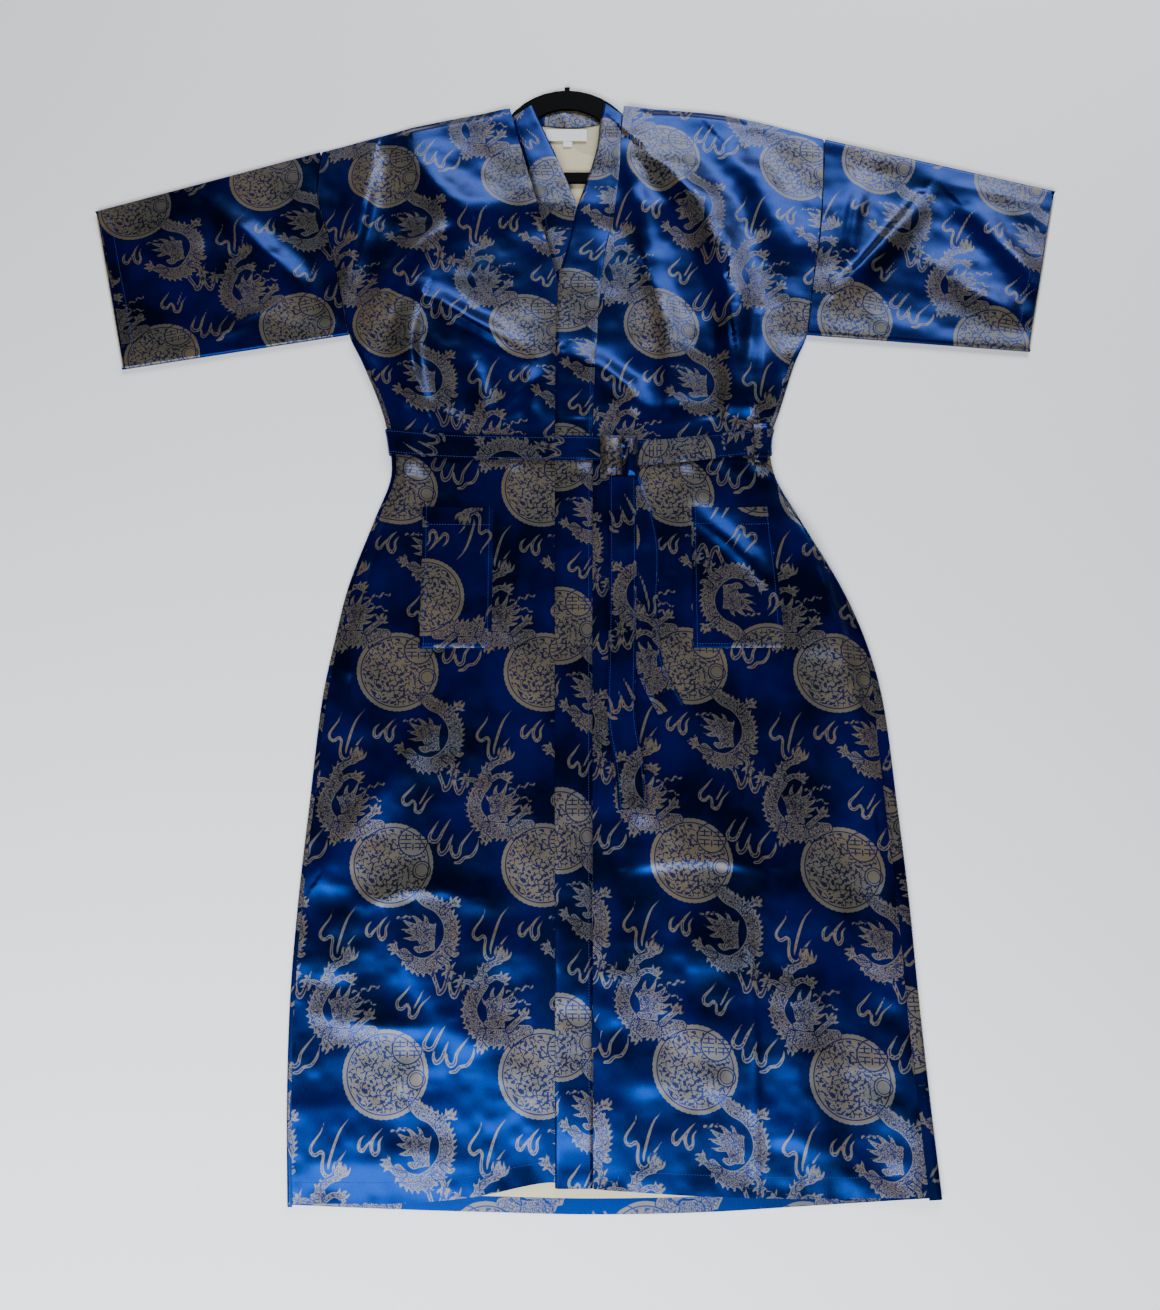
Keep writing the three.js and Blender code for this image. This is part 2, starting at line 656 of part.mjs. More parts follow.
// The belt's way round the waist, from the knot over the right side, the back and the left side.
function makeBelt() {
  const turn = Array.from({ length: BELT_TURN_STEPS + 1 }, (_, i) => (Math.PI * i) / BELT_TURN_STEPS);
  const stretch = (from, to) => {
    const count = Math.ceil(Math.abs(to - from) / BELT_STEP);
    return Array.from({ length: count + 1 }, (_, i) => lerp(from, to, i / count));
  };
  const halfKnot = KNOT.width / 2 + GAP;
  const sideInset = SIDE_RADIUS + 15;
  const rightTurn = read(BODY, 'level', 'right', BELT_Y) + sideInset;
  const leftTurn = read(BODY, 'level', 'left', BELT_Y) - sideInset;
  const column = (offset, outside) => {
    const y = BELT_Y + offset;
    const inner = (2 * SIDE_RADIUS + backLift(y) + SIDE_CLEAR - WALL) / 2;
    const radius = inner + outside;
    const onFront = (x) => {
      const at = read(BELT, 'x', 'y', x) + offset;
      return point(x, at, restingTop(x, at) + outside);
    };
    const onSide = (x, way, angle) => (
      point(x + way * radius * Math.sin(angle), y, WALL + inner + radius * Math.cos(angle))
    );
    const right = read(BODY, 'level', 'right', y) + SIDE_RADIUS;
    const left = read(BODY, 'level', 'left', y) - SIDE_RADIUS;
    return [
      ...stretch(KNOT.x - halfKnot, rightTurn).map(onFront),
      ...turn.map((angle) => onSide(right, -1, angle)),
      ...BELT_BACK.map((x) => point(x, y, WALL - outside)),
      ...turn.map((angle) => onSide(left, 1, Math.PI - angle)),
      ...stretch(leftTurn, KNOT.x + halfKnot).map(onFront),
    ];
  };
  const offsets = [-BELT_WIDTH / 2, 0, BELT_WIDTH / 2];
  const rowsOf = (outside) => {
    const columns = offsets.map((offset) => column(offset, outside));
    return columns[0].map((_, i) => columns.map((points) => points[i]));
  };
  return wall('belt_waist', BLUE, rowsOf(WALL), rowsOf(0));
}

// The knot: a rounded lump of wrapped cloth, flat underneath.
function makeKnot() {
  const floor = restingTop(KNOT.x, KNOT.y) + GAP;
  const sphere = new THREE.SphereGeometry(1, 20, 12);
  sphere.deleteAttribute('normal');
  sphere.deleteAttribute('uv');
  const geometry = mergeVertices(sphere);
  const position = geometry.attributes.position;
  const squared = (value) => Math.sign(value) * Math.abs(value) ** 0.7;
  for (let i = 0; i < position.count; i += 1) {
    const x = KNOT.x + (squared(position.getX(i)) * KNOT.width) / 2;
    const y = KNOT.y + (squared(position.getY(i)) * KNOT.length) / 2;
    const rise = (squared(position.getZ(i)) + 1) / 2;
    position.setXYZ(i, x, y, floor + KNOT.height * rise);
  }
  geometry.computeVertexNormals();
  return named('belt_knot', geometry, BLUE);
}

// A free end of the belt, on the front below it.
function makeEnd(name, rows, room) {
  const curve = new THREE.CatmullRomCurve3(rows.map((row) => point(row.x, row.y, 0)), false, 'centripetal');
  const lower = [];
  for (let i = 0; i <= END_STEPS; i += 1) {
    const at = curve.getPointAt(i / END_STEPS);
    const tangent = curve.getTangentAt(i / END_STEPS);
    lower.push(END_SHARES.map((share) => {
      const x = at.x + tangent.y * END_WIDTH * share;
      const y = at.y - tangent.x * END_WIDTH * share;
      return point(x, y, restingTop(x, y, room));
    }));
  }
  return wall(name, BLUE, raised(lower, WALL), lower);
}

// A flat patch of cloth.
function makePatch(name, { lowX, highX, lowY, highY, thickness }, z, color) {
  const geometry = new THREE.BoxGeometry(highX - lowX, highY - lowY, thickness);
  geometry.translate((lowX + highX) / 2, (lowY + highY) / 2, z + thickness / 2);
  return named(name, geometry, color, 0.7);
}

// The belt loop: a narrow strip that bridges the belt at the left side.
function makeLoop() {
  const lower = [];
  for (let i = 0; i <= LOOP.steps; i += 1) {
    const y = lerp(LOOP.lowY, LOOP.topY, i / LOOP.steps);
    lower.push([-0.5, 0, 0.5].map((share) => {
      const x = LOOP.x + share * LOOP.width;
      const overBelt = (WALL + 1.2) * strip(y, BELT_Y, BELT_WIDTH / 2 + 1, BELT_WIDTH / 2 + 7);
      return point(x, y, restingTop(x, y) + overBelt);
    }));
  }
  return wall('belt_loop', BLUE, raised(lower, WALL), lower);
}

// Points of an arc of the hanger's arch, from right to left, out to a distance either side.
function archPoints(radius, half) {
  const centreY = HANGER.apexY - HANGER.archRadius;
  const limit = Math.asin(half / radius);
  return Array.from({ length: HANGER.archSteps + 1 }, (_, i) => {
    const angle = lerp(-limit, limit, i / HANGER.archSteps);
    return new THREE.Vector2(HANGER.x + radius * Math.sin(angle), centreY + radius * Math.cos(angle));
  });
}

function makeHanger() {
  const { x, apexY, archRadius, archHalf, archWidth, innerHalf, halfSpan, tipY } = HANGER;
  const { armWidth, armSlope, barLowY, barWidth, thickness, socketWidth, socketLength } = HANGER;
  const spot = (offset, y) => new THREE.Vector2(x + offset, y);
  const arch = archPoints(archRadius, archHalf);
  const socket = socketWidth / 2;
  const socketTop = apexY + socketLength;
  const outline = new THREE.Shape([
    spot(-halfSpan, barLowY),
    spot(-halfSpan, tipY),
    ...arch.filter((p) => p.x < x - socket),
    spot(-socket, apexY - 0.2),
    spot(-socket, socketTop),
    spot(socket, socketTop),
    spot(socket, apexY - 0.2),
    ...arch.filter((p) => p.x > x + socket),
    spot(halfSpan, tipY),
    spot(halfSpan, barLowY),
  ]);
  const inner = [
    spot(armWidth - halfSpan, barLowY + barWidth),
    spot(armWidth - halfSpan, tipY - armSlope),
    ...archPoints(archRadius - archWidth, innerHalf),
    spot(halfSpan - armWidth, tipY - armSlope),
    spot(halfSpan - armWidth, barLowY + barWidth),
  ];
  outline.holes.push(new THREE.Path(inner.reverse()));
  const geometry = new THREE.ExtrudeGeometry(outline, { depth: thickness, bevelEnabled: false });
  geometry.translate(0, 0, LOW);
  return named('hanger', geometry, BLACK, 0.6);
}

const rightFront = frontGrids('right');
const leftFront = frontGrids('left');

const group = new THREE.Group();
group.add(makeBack());
group.add(wall('front_right', BLUE, rightFront.upper, rightFront.lower));
group.add(wall('front_left', BLUE, leftFront.upper, leftFront.lower));
group.add(makeSleeve('right'));
group.add(makeSleeve('left'));
group.add(makeBand('right'));
group.add(makeBand('left'));
group.add(makeNeckBand());
group.add(makePocket('right', rightFront.upper));
group.add(makePocket('left', leftFront.upper));
group.add(makeBelt());
group.add(makeKnot());
group.add(makeEnd('belt_end_under', END_UNDER, CLEAR));
group.add(makeEnd('belt_end_over', END_OVER, CLEAR + WALL + 1));
group.add(makeLoop());
group.add(makePatch('neck_label', LABEL, LOW, WHITE));
group.add(makePatch('size_tab', SIZE_TAB, LOW, WHITE));
group.add(makeHanger());

// The origin is under the middle of the robe's length.
for (const piece of group.children) piece.geometry.translate(0, -MIDDLE_Y, 0);

export default group;
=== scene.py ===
from math import asin, cos, pi, radians, sin

import bpy
import numpy as np
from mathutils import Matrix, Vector


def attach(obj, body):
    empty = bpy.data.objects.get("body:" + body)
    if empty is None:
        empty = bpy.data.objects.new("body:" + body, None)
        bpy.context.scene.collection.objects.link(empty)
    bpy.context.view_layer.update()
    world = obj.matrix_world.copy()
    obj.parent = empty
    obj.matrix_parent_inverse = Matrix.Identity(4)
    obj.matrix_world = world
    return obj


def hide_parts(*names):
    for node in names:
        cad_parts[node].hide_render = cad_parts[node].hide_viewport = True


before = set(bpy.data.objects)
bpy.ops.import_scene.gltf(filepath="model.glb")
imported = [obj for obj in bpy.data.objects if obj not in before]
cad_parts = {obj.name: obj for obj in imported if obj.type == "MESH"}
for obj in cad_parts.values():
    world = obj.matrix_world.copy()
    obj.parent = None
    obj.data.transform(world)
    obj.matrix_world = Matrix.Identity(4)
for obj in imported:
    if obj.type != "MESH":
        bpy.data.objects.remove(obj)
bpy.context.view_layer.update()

# ---------------------------------------------------------------- camera, light and floor
# The robe is seen from just over a metre above, leaning a little towards the neck.
# Two large soft lamps, one beyond the hem and one beyond the shoulders, bring out the satin's sheen.

camera = bpy.data.objects.new("camera", bpy.data.cameras.new("camera"))
camera.location = (0.005, -0.261, 1.120)
camera.rotation_euler = (radians(9.58), 0.0, 0.0)
camera.data.sensor_width = 36.0
camera.data.lens = 26.1
camera.data.clip_start = 0.01
bpy.context.scene.collection.objects.link(camera)
bpy.context.scene.camera = camera


def linear(code):
    """A colour from its sRGB hex value."""
    parts = [int(code[i:i + 2], 16) / 255 for i in (1, 3, 5)]
    return [p / 12.92 if p <= 0.04045 else ((p + 0.055) / 1.055) ** 2.4 for p in parts] + [1.0]


def lamp(name, place, aim, size, watts, colour):
    """A rectangular area lamp at a place, turned to face its aim."""
    light = bpy.data.lights.new(name, "AREA")
    light.shape = "RECTANGLE"
    light.size, light.size_y = size
    light.energy = watts
    light.color = linear(colour)[:3]
    item = bpy.data.objects.new(name, light)
    item.location = place
    facing = np.array(aim) - np.array(place)
    item.rotation_euler = Vector(facing).to_track_quat("-Z", "Y").to_euler()
    bpy.context.scene.collection.objects.link(item)


lamp("lamp_hem", (-0.45, -1.62, 1.45), (-0.25, -0.50, 0.0), (2.3, 0.8), 100.0, "#F4F8FF")
lamp("lamp_shoulders", (0.7, 2.2, 1.4), (0.3, 0.45, 0.0), (2.5, 0.9), 66.0, "#F4F8FF")


def add(tree, kind, settings=None, **links):
    """Adds a node, sets its properties, and fills its inputs with values or links."""
    node = tree.nodes.new(kind)
    for key, value in (settings or {}).items():
        setattr(node, key, value)
    for key, value in links.items():
        is_number = key[0] == "i" and key[1:].isdigit()
        socket = node.inputs[int(key[1:]) if is_number else key.replace("_", " ")]
        if isinstance(value, bpy.types.NodeSocket):
            tree.links.new(value, socket)
        else:
            socket.default_value = value
    return node


FLAT_NOISE = {"noise_dimensions": "2D"}
COLOUR_MIX = {"data_type": "RGBA"}


def material(name):
    """A new material with its shader, and the shader's node tree."""
    item = bpy.data.materials.new(name)
    item.use_nodes = True
    return item, item.node_tree, item.node_tree.nodes["Principled BSDF"]


world = bpy.data.worlds.new("studio")
bpy.context.scene.world = world
world.use_nodes = True
world.node_tree.nodes["Background"].inputs["Color"].default_value = linear("#F2F5FA")
world.node_tree.nodes["Background"].inputs["Strength"].default_value = 0.06

# Matt white paper: even, with a very fine tooth.
paper, tree, shader = material("matt_white_paper")
tooth = add(tree, "ShaderNodeTexNoise", Vector=add(tree, "ShaderNodeTexCoord").outputs["Object"], Scale=900.0)
shade = add(tree, "ShaderNodeMapRange", Value=tooth.outputs["Fac"], To_Min=0.95, To_Max=0.98)
tree.links.new(add(tree, "ShaderNodeCombineColor", i0=shade.outputs[0], i1=shade.outputs[0],
                   i2=shade.outputs[0]).outputs[0], shader.inputs["Base Color"])
shader.inputs["Roughness"].default_value = 0.9
shader.inputs["Specular IOR Level"].default_value = 0.2
floor_mesh = bpy.data.meshes.new("floor")
reach = 6.0
floor_mesh.from_pydata([(-reach, -reach, -0.0004), (reach, -reach, -0.0004), (reach, reach, -0.0004),
                        (-reach, reach, -0.0004)], [], [(0, 1, 2, 3)])
floor_mesh.materials.append(paper)
floor = bpy.data.objects.new("floor", floor_mesh)
bpy.context.scene.collection.objects.link(floor)

# ---------------------------------------------------------------- back
# One piece of figured satin from hem to neck, laid flat, its side edges brought round to meet the fronts.
# Its cream reverse shows inside the neck and below the hem of the fronts. Sizes are in millimetres.

MIDDLE_Y = 2.0
WALL = 1.5
GAP = 0.3
LOW = WALL + GAP
OVER = LOW + WALL + GAP
CLOTH = 0.5
SIDE_RADIUS = 3.4
ARMHOLE_RADIUS = 1.0
SEAM_INSET = 3.0
LEFT_WRAP = 9.0
PITCH = 2.4


def table(columns, *rows):
    """A table with named columns, as one array a column."""
    return dict(zip(columns.split(), np.array(rows, float).T))


BODY = table("level right left",
             (-674, -313, 399), (-569, -319, 392), (-464, -321, 386), (-354, -317, 381), (-241, -309, 373),
             (-124, -300, 363), (-52, -288, 346), (15, -274, 319), (97, -246, 274), (150, -228, 246),
             (195, -231, 240), (240, -243, 255), (300, -268, 275), (340, -287, 292), (410, -303, 303),
             (470, -318, 314), (538, -336, 322), (600, -334, 326))
HEM_LEVEL, HEM_FADE_LEVEL, ARMPIT_LEVEL, TILT_LEVEL, TOP_LEVEL = -674, -500, 340, 380, 600
SHOULDER = table("x y", (-340, 595), (-192, 637), (-84, 657), (60, 661), (209, 647), (330, 614))
FRONT_HEM = table("x y", (-320, -674), (-190, -675), (-110, -668), (-30, -654), (10, -659), (127, -667),
                  (252, -670), (400, -667))
BACK_HEM = table("x y", (-320, -677), (-190, -682), (-82, -685), (16, -687), (135, -685), (244, -679),
                 (400, -670))
NECK_BAND = table("seam_x seam_y edge_x edge_y",
                  (-85, 652, -62, 671), (-55, 640, -42, 680), (-12, 634.5, -12, 684.5), (28, 639, 16, 681),
                  (61, 655, 38, 671))
BELT_Y = 195.0
BELT_WIDTH = 32.0


def follow(rows, by, key, at):
    """A column of a table at places between its rows, on a smooth curve through them."""
    xs, ys = rows[by], rows[key]
    n = len(xs)
    low, high = np.maximum(np.arange(n) - 1, 0), np.minimum(np.arange(n) + 1, n - 1)
    slopes = (ys[high] - ys[low]) / (xs[high] - xs[low])
    at = np.clip(at, xs[0], xs[-1])
    i = np.clip(np.searchsorted(xs, at) - 1, 0, n - 2)
    span = xs[i + 1] - xs[i]
    rise = ys[i + 1] - ys[i]
    t = (at - xs[i]) / span
    bend = (1 - t) * (slopes[i] * span - rise) - t * (slopes[i + 1] * span - rise)
    return ys[i] + rise * t + t * (1 - t) * bend


def smooth(value, low, high):
    """Eases from 0 to 1 between two limits."""
    t = np.clip((value - low) / (high - low), 0, 1)
    return t * t * (3 - 2 * t)


def strip(y, middle, inner, outer):
    """1 near the middle of a strip across y, 0 outside it."""
    return 1 - smooth(np.abs(y - middle), inner, outer)


def back_lift(y):
    """The back rises a little where the belt runs under it."""
    return (WALL + GAP) * strip(y, BELT_Y, 19, 44)


def side_radius(level):
    return SIDE_RADIUS + (ARMHOLE_RADIUS - SIDE_RADIUS) * smooth(level, ARMPIT_LEVEL - 30, ARMPIT_LEVEL + 10)


def seam_inset(level):
    """Width of the back's edge that shows on the front beside a side seam: next to none at the armhole."""
    return SEAM_INSET * (1 - 0.9 * smooth(level, ARMPIT_LEVEL - 30, ARMPIT_LEVEL + 10))


def left_wrap(level):
    return seam_inset(level) + LEFT_WRAP * (1 - smooth(level, -190, -60))


def shoulder_y(x):
    return follow(SHOULDER, "x", "y", x)


def row_y(level, x, hem=FRONT_HEM, top_edge=shoulder_y):
    """Place along Y of a body row at x: level low down, parallel to the shoulders at the top."""
    towards_top = smooth(level, TILT_LEVEL, TOP_LEVEL) * (top_edge(x) - TOP_LEVEL)
    towards_hem = (1 - smooth(level, HEM_LEVEL, HEM_FADE_LEVEL)) * (follow(hem, "x", "y", x) - HEM_LEVEL)
    return level + towards_top + towards_hem


def steps(low, high, pitch, multiple=4):
    """Even places from low to high, in a number of spans that is a multiple."""
    count = multiple * max(1, round(abs(high - low) / pitch / multiple))
    return np.linspace(low, high, count + 1)


# The chart of the weave. One repeat holds a roundel of leaf work, two dragons and flame-like clouds.
TILE = (173.0, 227.0)
# Each stroke of the weave chart is a row of points: x, y and half-width, in mm from the roundel's middle.
# Flames are cloud, bodies lie over them, heads and limbs over those.
BODIES = [
    [(-60, 117, 3.0), (-67, 108, 5.0), (-66, 97, 6.8), (-74, 85, 7.4), (-80, 69, 7.6), (-74, 52, 8.2),
     (-59, 41, 8.8),
     (-42, 39, 8.6), (-27, 44, 7.4), (-15, 46, 5.5)],
    [(30, -30, 5.5), (40, -40, 6.4), (55, -47, 7.2), (67, -62, 7.6), (69, -82, 7.8), (60, -100, 8.4),
     (44, -111, 8.8),
     (27, -108, 7.6), (17, -97, 5.0)],
]
HEADS = [
    # skull, snout, jaw and brow of each dragon
    [(-54, 72, 12.0), (-50, 63, 10.5), (-51, 55, 6.5)], [(-53, 56, 4.6), (-59, 53, 3.4), (-62, 55, 2.2)],
    [(-46, 56, 3.6), (-43, 51, 2.4)],
    [(40, -73, 12.0), (43, -81, 10.5), (44, -89, 6.5)], [(42, -90, 4.6), (35, -94, 3.6), (30, -92, 2.2)],
    [(47, -88, 3.4), (50, -93, 2.2)],
]
MANES = [
    # root, bend and tip
    [(-44, 75, 3.6), (-36, 80, 2.4), (-31, 88, 0.3)], [(-42, 71, 3.6), (-33, 73, 2.2), (-26, 79, 0.3)],
    [(-43, 66, 3.4), (-34, 65, 2.2), (-26, 69, 0.3)], [(-44, 61, 3.0), (-37, 58, 2.0), (-30, 60, 0.3)],
    [(-49, 79, 3.2), (-45, 86, 2.0), (-42, 95, 0.3)], [(-55, 79, 3.0), (-56, 86, 1.8), (-53, 93, 0.3)],
    [(-60, 73, 2.6), (-65, 77, 1.4), (-67, 82, 0.3)],
    [(31, -70, 3.6), (22, -66, 2.4), (13, -60, 0.3)], [(32, -75, 3.6), (22, -74, 2.2), (12, -71, 0.3)],
    [(33, -80, 3.2), (24, -82, 2.0), (15, -81, 0.3)], [(36, -67, 3.4), (30, -60, 2.0), (22, -55, 0.3)],
    [(42, -67, 3.0), (41, -60, 1.8), (36, -54, 0.3)], [(46, -72, 2.6), (51, -69, 1.4), (53, -63, 0.3)],
]
LIMBS = [
    [(-63, 112, 3.4), (-57, 117, 3.0), (-49, 120, 3.2)], [(-74, 93, 3.6), (-82, 98, 2.8), (-89, 98, 2.6)],
    [(-60, 99, 3.4), (-52, 103, 2.8), (-45, 101, 2.6)], [(-66, 45, 3.6), (-69, 37, 2.8), (-66, 31, 2.6)],
    [(-36, 47, 3.6), (-28, 55, 2.8), (-21, 60, 2.8)],
    [(24, -103, 3.6), (15, -101, 2.8), (7, -93, 2.6)], [(58, -104, 3.6), (66, -109, 2.8), (68, -117, 2.6)],
    [(60, -52, 3.6), (66, -46, 2.8), (72, -44, 2.6)], [(66, -94, 3.0), (74, -100, 2.4), (78, -98, 1.8)],
]
# Paws: middle, the way they point in degrees, how wide they spread, length and number of talons
PAWS = [(-47, 121, 72, 105, 17, 5), (-90, 98, 195, 190, 10, 4), (-43, 101, 30, 190, 9, 4),
        (-66, 30, 250, 190, 9, 4),
        (-20, 62, 60, 180, 9, 4), (6, -92, 165, 190, 9, 4), (68, -119, 275, 180, 9, 4),
        (73, -43, 50, 180, 9, 4)]
FLAMES = [
    [(-65, -49, 0.3), (-68, -59, 0.9), (-77, -72, 1.4), (-78, -79, 1.7), (-73, -83, 1.8), (-67, -79, 1.7),
     (-64, -83, 1.6),
     (-65, -92, 1.6), (-64, -101, 1.9), (-58, -106, 2.2), (-53, -102, 1.9), (-50, -94, 1.5), (-45, -86, 1.1),
     (-38, -77, 0.3)],
    [(-37, -45, 0.3), (-46, -56, 1.0), (-51, -67, 1.4), (-55, -80, 1.5), (-58, -92, 1.3), (-58, -98, 0.8)],
    [(-1, -56, 0.3), (-8, -63, 1.3), (-12, -70, 1.7), (-12, -78, 1.8), (-8, -83, 1.9), (-4, -78, 1.6),
     (-4, -70, 1.3), (1, -62, 0.3)],
    [(-19, -62, 0.3), (-25, -68, 1.4), (-26, -76, 1.8), (-22, -79, 1.8), (-18, -74, 1.4), (-13, -67, 0.3)],
    [(53, 51, 0.3), (46, 40, 1.4), (42, 31, 2.0), (47, 26, 2.2), (53, 29, 1.8), (58, 39, 1.6), (67, 54, 0.3)],
    [(70, 36, 0.3), (66, 26, 1.6), (62, 16, 2.1), (56, 12, 2.2), (53, 18, 1.7), (54, 25, 0.8)],
    [(96, 44, 0.3), (86, 32, 1.1), (79, 22, 1.6), (77, 12, 2.0), (72, 9, 2.1), (68, 15, 1.7), (68, 22, 1.0)],
    [(99, 30, 0.3), (97, 19, 1.5), (91, 10, 1.8), (83, 8, 1.7), (78, 3, 1.9), (72, 2, 1.5)],
    [(27, 96, 0.3), (19, 86, 1.2), (11, 77, 1.7), (12, 70, 1.9), (17, 69, 1.7), (22, 74, 1.4), (25, 69, 1.5),
     (25, 62, 1.8),
     (30, 60, 1.9), (34, 65, 1.5), (38, 73, 1.1), (49, 84, 0.3)],
    [(41, 91, 0.3), (35, 79, 1.1), (30, 70, 1.0)],
    [(76, 120, 0.3), (69, 110, 2.1), (66, 100, 2.0), (63, 90, 2.4), (58, 86, 2.4), (56, 93, 2.0),
     (52, 103, 2.2), (51, 110, 2.0), (57, 115, 1.2)],
    [(87, 111, 0.3), (83, 98, 1.8), (79, 88, 2.2), (75, 82, 2.3), (71, 88, 2.0), (70, 98, 1.3),
     (75, 106, 0.4)],
]
FACES = [
    # dark lines on the heads: eye, brow, jaw and the partings of the mane
    [(-52, 68, 1.5), (-51, 67, 1.5)], [(-57, 71, 0.5), (-52, 73, 1.1), (-47, 69, 0.6)],
    [(-63, 58, 0.5), (-56, 59, 1.1), (-50, 62, 0.6)], [(-60, 79, 0.5), (-55, 81, 1.0), (-49, 79, 0.5)],
    [(-45, 77, 0.5), (-44, 70, 1.0), (-46, 62, 0.5)], [(-39, 76, 0.4), (-34, 77, 0.9), (-31, 80, 0.4)],
    [(-40, 69, 0.4), (-34, 69, 0.9), (-29, 72, 0.4)], [(-52, 85, 0.4), (-50, 90, 0.9), (-48, 94, 0.4)],
    [(42, -77, 1.5), (43, -78, 1.5)], [(48, -73, 0.5), (43, -72, 1.1), (37, -76, 0.6)],
    [(33, -89, 0.5), (40, -87, 1.1), (46, -84, 0.6)], [(49, -66, 0.5), (43, -63, 1.0), (36, -65, 0.5)],
    [(31, -66, 0.5), (30, -73, 1.0), (33, -81, 0.5)], [(27, -70, 0.4), (21, -70, 0.9), (16, -67, 0.4)],
    [(27, -77, 0.4), (21, -78, 0.9), (16, -76, 0.4)], [(36, -62, 0.4), (33, -57, 0.9), (30, -53, 0.4)],
]
FRET = (23.5, 26.5, 16.5)
RING = (34.5, -6.0, 10.0)
ROUNDEL = 47.0


def drawn_curve(points, count):
    """Even places along a smooth line through points, and the line's half-width there."""
    rows = table("x y w", *points)
    rows["at"] = np.arange(float(len(points)))
    fine = np.linspace(0, len(points) - 1, count)
    return [follow(rows, "at", key, fine) for key in "xyw"]


def stroke_field(x, y, points):
    """How far inside a stroke of changing width each place lies, in mm, and less than 0 outside it."""
    px, py, pw = drawn_curve(points, 4 * (len(points) - 1) + 1)
    field = np.full(x.shape, -1e3)
    near = (x > px.min() - 8) & (x < px.max() + 8) & (y > py.min() - 8) & (y < py.max() + 8)
    qx, qy = x[near], y[near]
    held = np.full(qx.shape, -1e3)
    for i in range(len(px) - 1):
        dx, dy = px[i + 1] - px[i], py[i + 1] - py[i]
        t = np.clip(((qx - px[i]) * dx + (qy - py[i]) * dy) / (dx * dx + dy * dy + 1e-9), 0, 1)
        held = np.maximum(held,
                          pw[i] + (pw[i + 1] - pw[i]) * t - np.hypot(qx - px[i] - t * dx,
                                                                     qy - py[i] - t * dy))
    field[near] = held
    return field


def spikes(points, side, pitch=5.0, size=4.2):
    """Strokes for the row of spikes along a dragon's back."""
    px, py, pw = drawn_curve(points, 400)
    run = np.concatenate([[0], np.cumsum(np.hypot(np.diff(px), np.diff(py)))])
    strokes = []
    for at in np.arange(pitch, run[-1] - pitch, pitch):
        i = np.searchsorted(run, at)
        along = np.array([px[i] - px[i - 1], py[i] - py[i - 1]])
        along /= np.hypot(*along)
        out = side * np.array([-along[1], along[0]])
        root = np.array([px[i], py[i]])
        places = ((pw[i] - 1.5, 0.0, 2.0), (pw[i] + size / 2, 1.0, 1.1), (pw[i] + size, 3.0, 0.3))
        strokes.append([(*(root + out * away - along * back), width) for away, back, width in places])
    return strokes


def talons(x, y, way, spread, length, count):
    """Strokes for a paw: a palm and its fan of bent talons."""
    at = lambda distance, angle: (x + distance * cos(angle), y + distance * sin(angle))
    middle = radians(way)
    strokes = [[(*at(-1.5, middle), 2.8), (*at(1.0, middle), 2.8)]]
    for k in range(count):
        angle = middle + radians(spread) * (k / (count - 1) - 0.5)
        bent = angle + (0.35 if k < count / 2 else -0.35)
        strokes.append([(*at(2, angle), 1.8), (*at(0.6 * length, angle), 1.5), (*at(length, bent), 0.5)])
    return strokes


def whisker(x0, y0, x1, y1, waves, size):
    """A thin waved stroke."""
    length = np.hypot(x1 - x0, y1 - y0)
    strokes = []
    for u in np.linspace(0, 1, 6 * waves + 1):
        v = size * sin(2 * pi * waves * u) / length
        strokes.append((x0 + (x1 - x0) * u - (y1 - y0) * v, y0 + (y1 - y0) * u + (x1 - x0) * v, 1.0))
    return strokes


def weave_fields(step=0.5):
    """The chart over one repeat: clouds, bodies, heads with limbs, and the faces' dark lines."""
    columns, rows = int(TILE[0] / step), int(TILE[1] / step)
    x, y = np.meshgrid((np.arange(columns) + 0.5) * TILE[0] / columns - TILE[0] / 2,
                       (np.arange(rows) + 0.5) * TILE[1] / rows - TILE[1] / 2)
    whiskers = [whisker(-40, 86, -10, 94, 3, 2.2), whisker(-34, 80, -13, 74, 2, 1.8),
                whisker(24, -57, 8, -60, 2, 1.8)]
    groups = [FLAMES + whiskers, BODIES + spikes(BODIES[0], -1) + spikes(BODIES[1], 1),
              HEADS + MANES + LIMBS + sum([talons(*paw) for paw in PAWS], []), FACES]
    fields = []
    for strokes in groups:
        field = np.full(x.shape, -1e3)
        for stroke in strokes:
            for dx in (-TILE[0], 0, TILE[0]):
                for dy in (-TILE[1], 0, TILE[1]):
                    field = np.maximum(field, stroke_field(x + dx, y + dy, stroke))
        fields.append(field)
    scallops = 0.9 * np.abs(np.sin(24 * np.arctan2(y, x)))
    fields[0] = np.maximum(fields[0], ROUNDEL + scallops - np.hypot(x, y))
    return np.clip(np.stack(fields, -1), -8, 8)


WEAVE = weave_fields()


def weave_on(mesh, places):
    """Gives every point its place on the uncut cloth and the chart's four fields there, all in mm."""
    rows, columns = WEAVE.shape[:2]
    u = (places[:, 0] / TILE[0] + 0.5) * columns - 0.5
    v = (places[:, 1] / TILE[1] + 0.5) * rows - 0.5
    i, j = np.floor(v).astype(int), np.floor(u).astype(int)
    fu, fv = (u - j)[:, None], (v - i)[:, None]
    at = lambda a, b: WEAVE[a % rows, b % columns]
    fields = ((at(i, j) * (1 - fu) + at(i, j + 1) * fu) * (1 - fv)
              + (at(i + 1, j) * (1 - fu) + at(i + 1, j + 1) * fu) * fv)
    held = mesh.attributes.new("cloth", "FLOAT_VECTOR", "POINT")
    held.data.foreach_set("vector", np.concatenate([places, 0 * places[:, :1]], 1).ravel())
    held = mesh.attributes.new("weave", "FLOAT_COLOR", "POINT")
    held.data.foreach_set("color", fields.ravel())


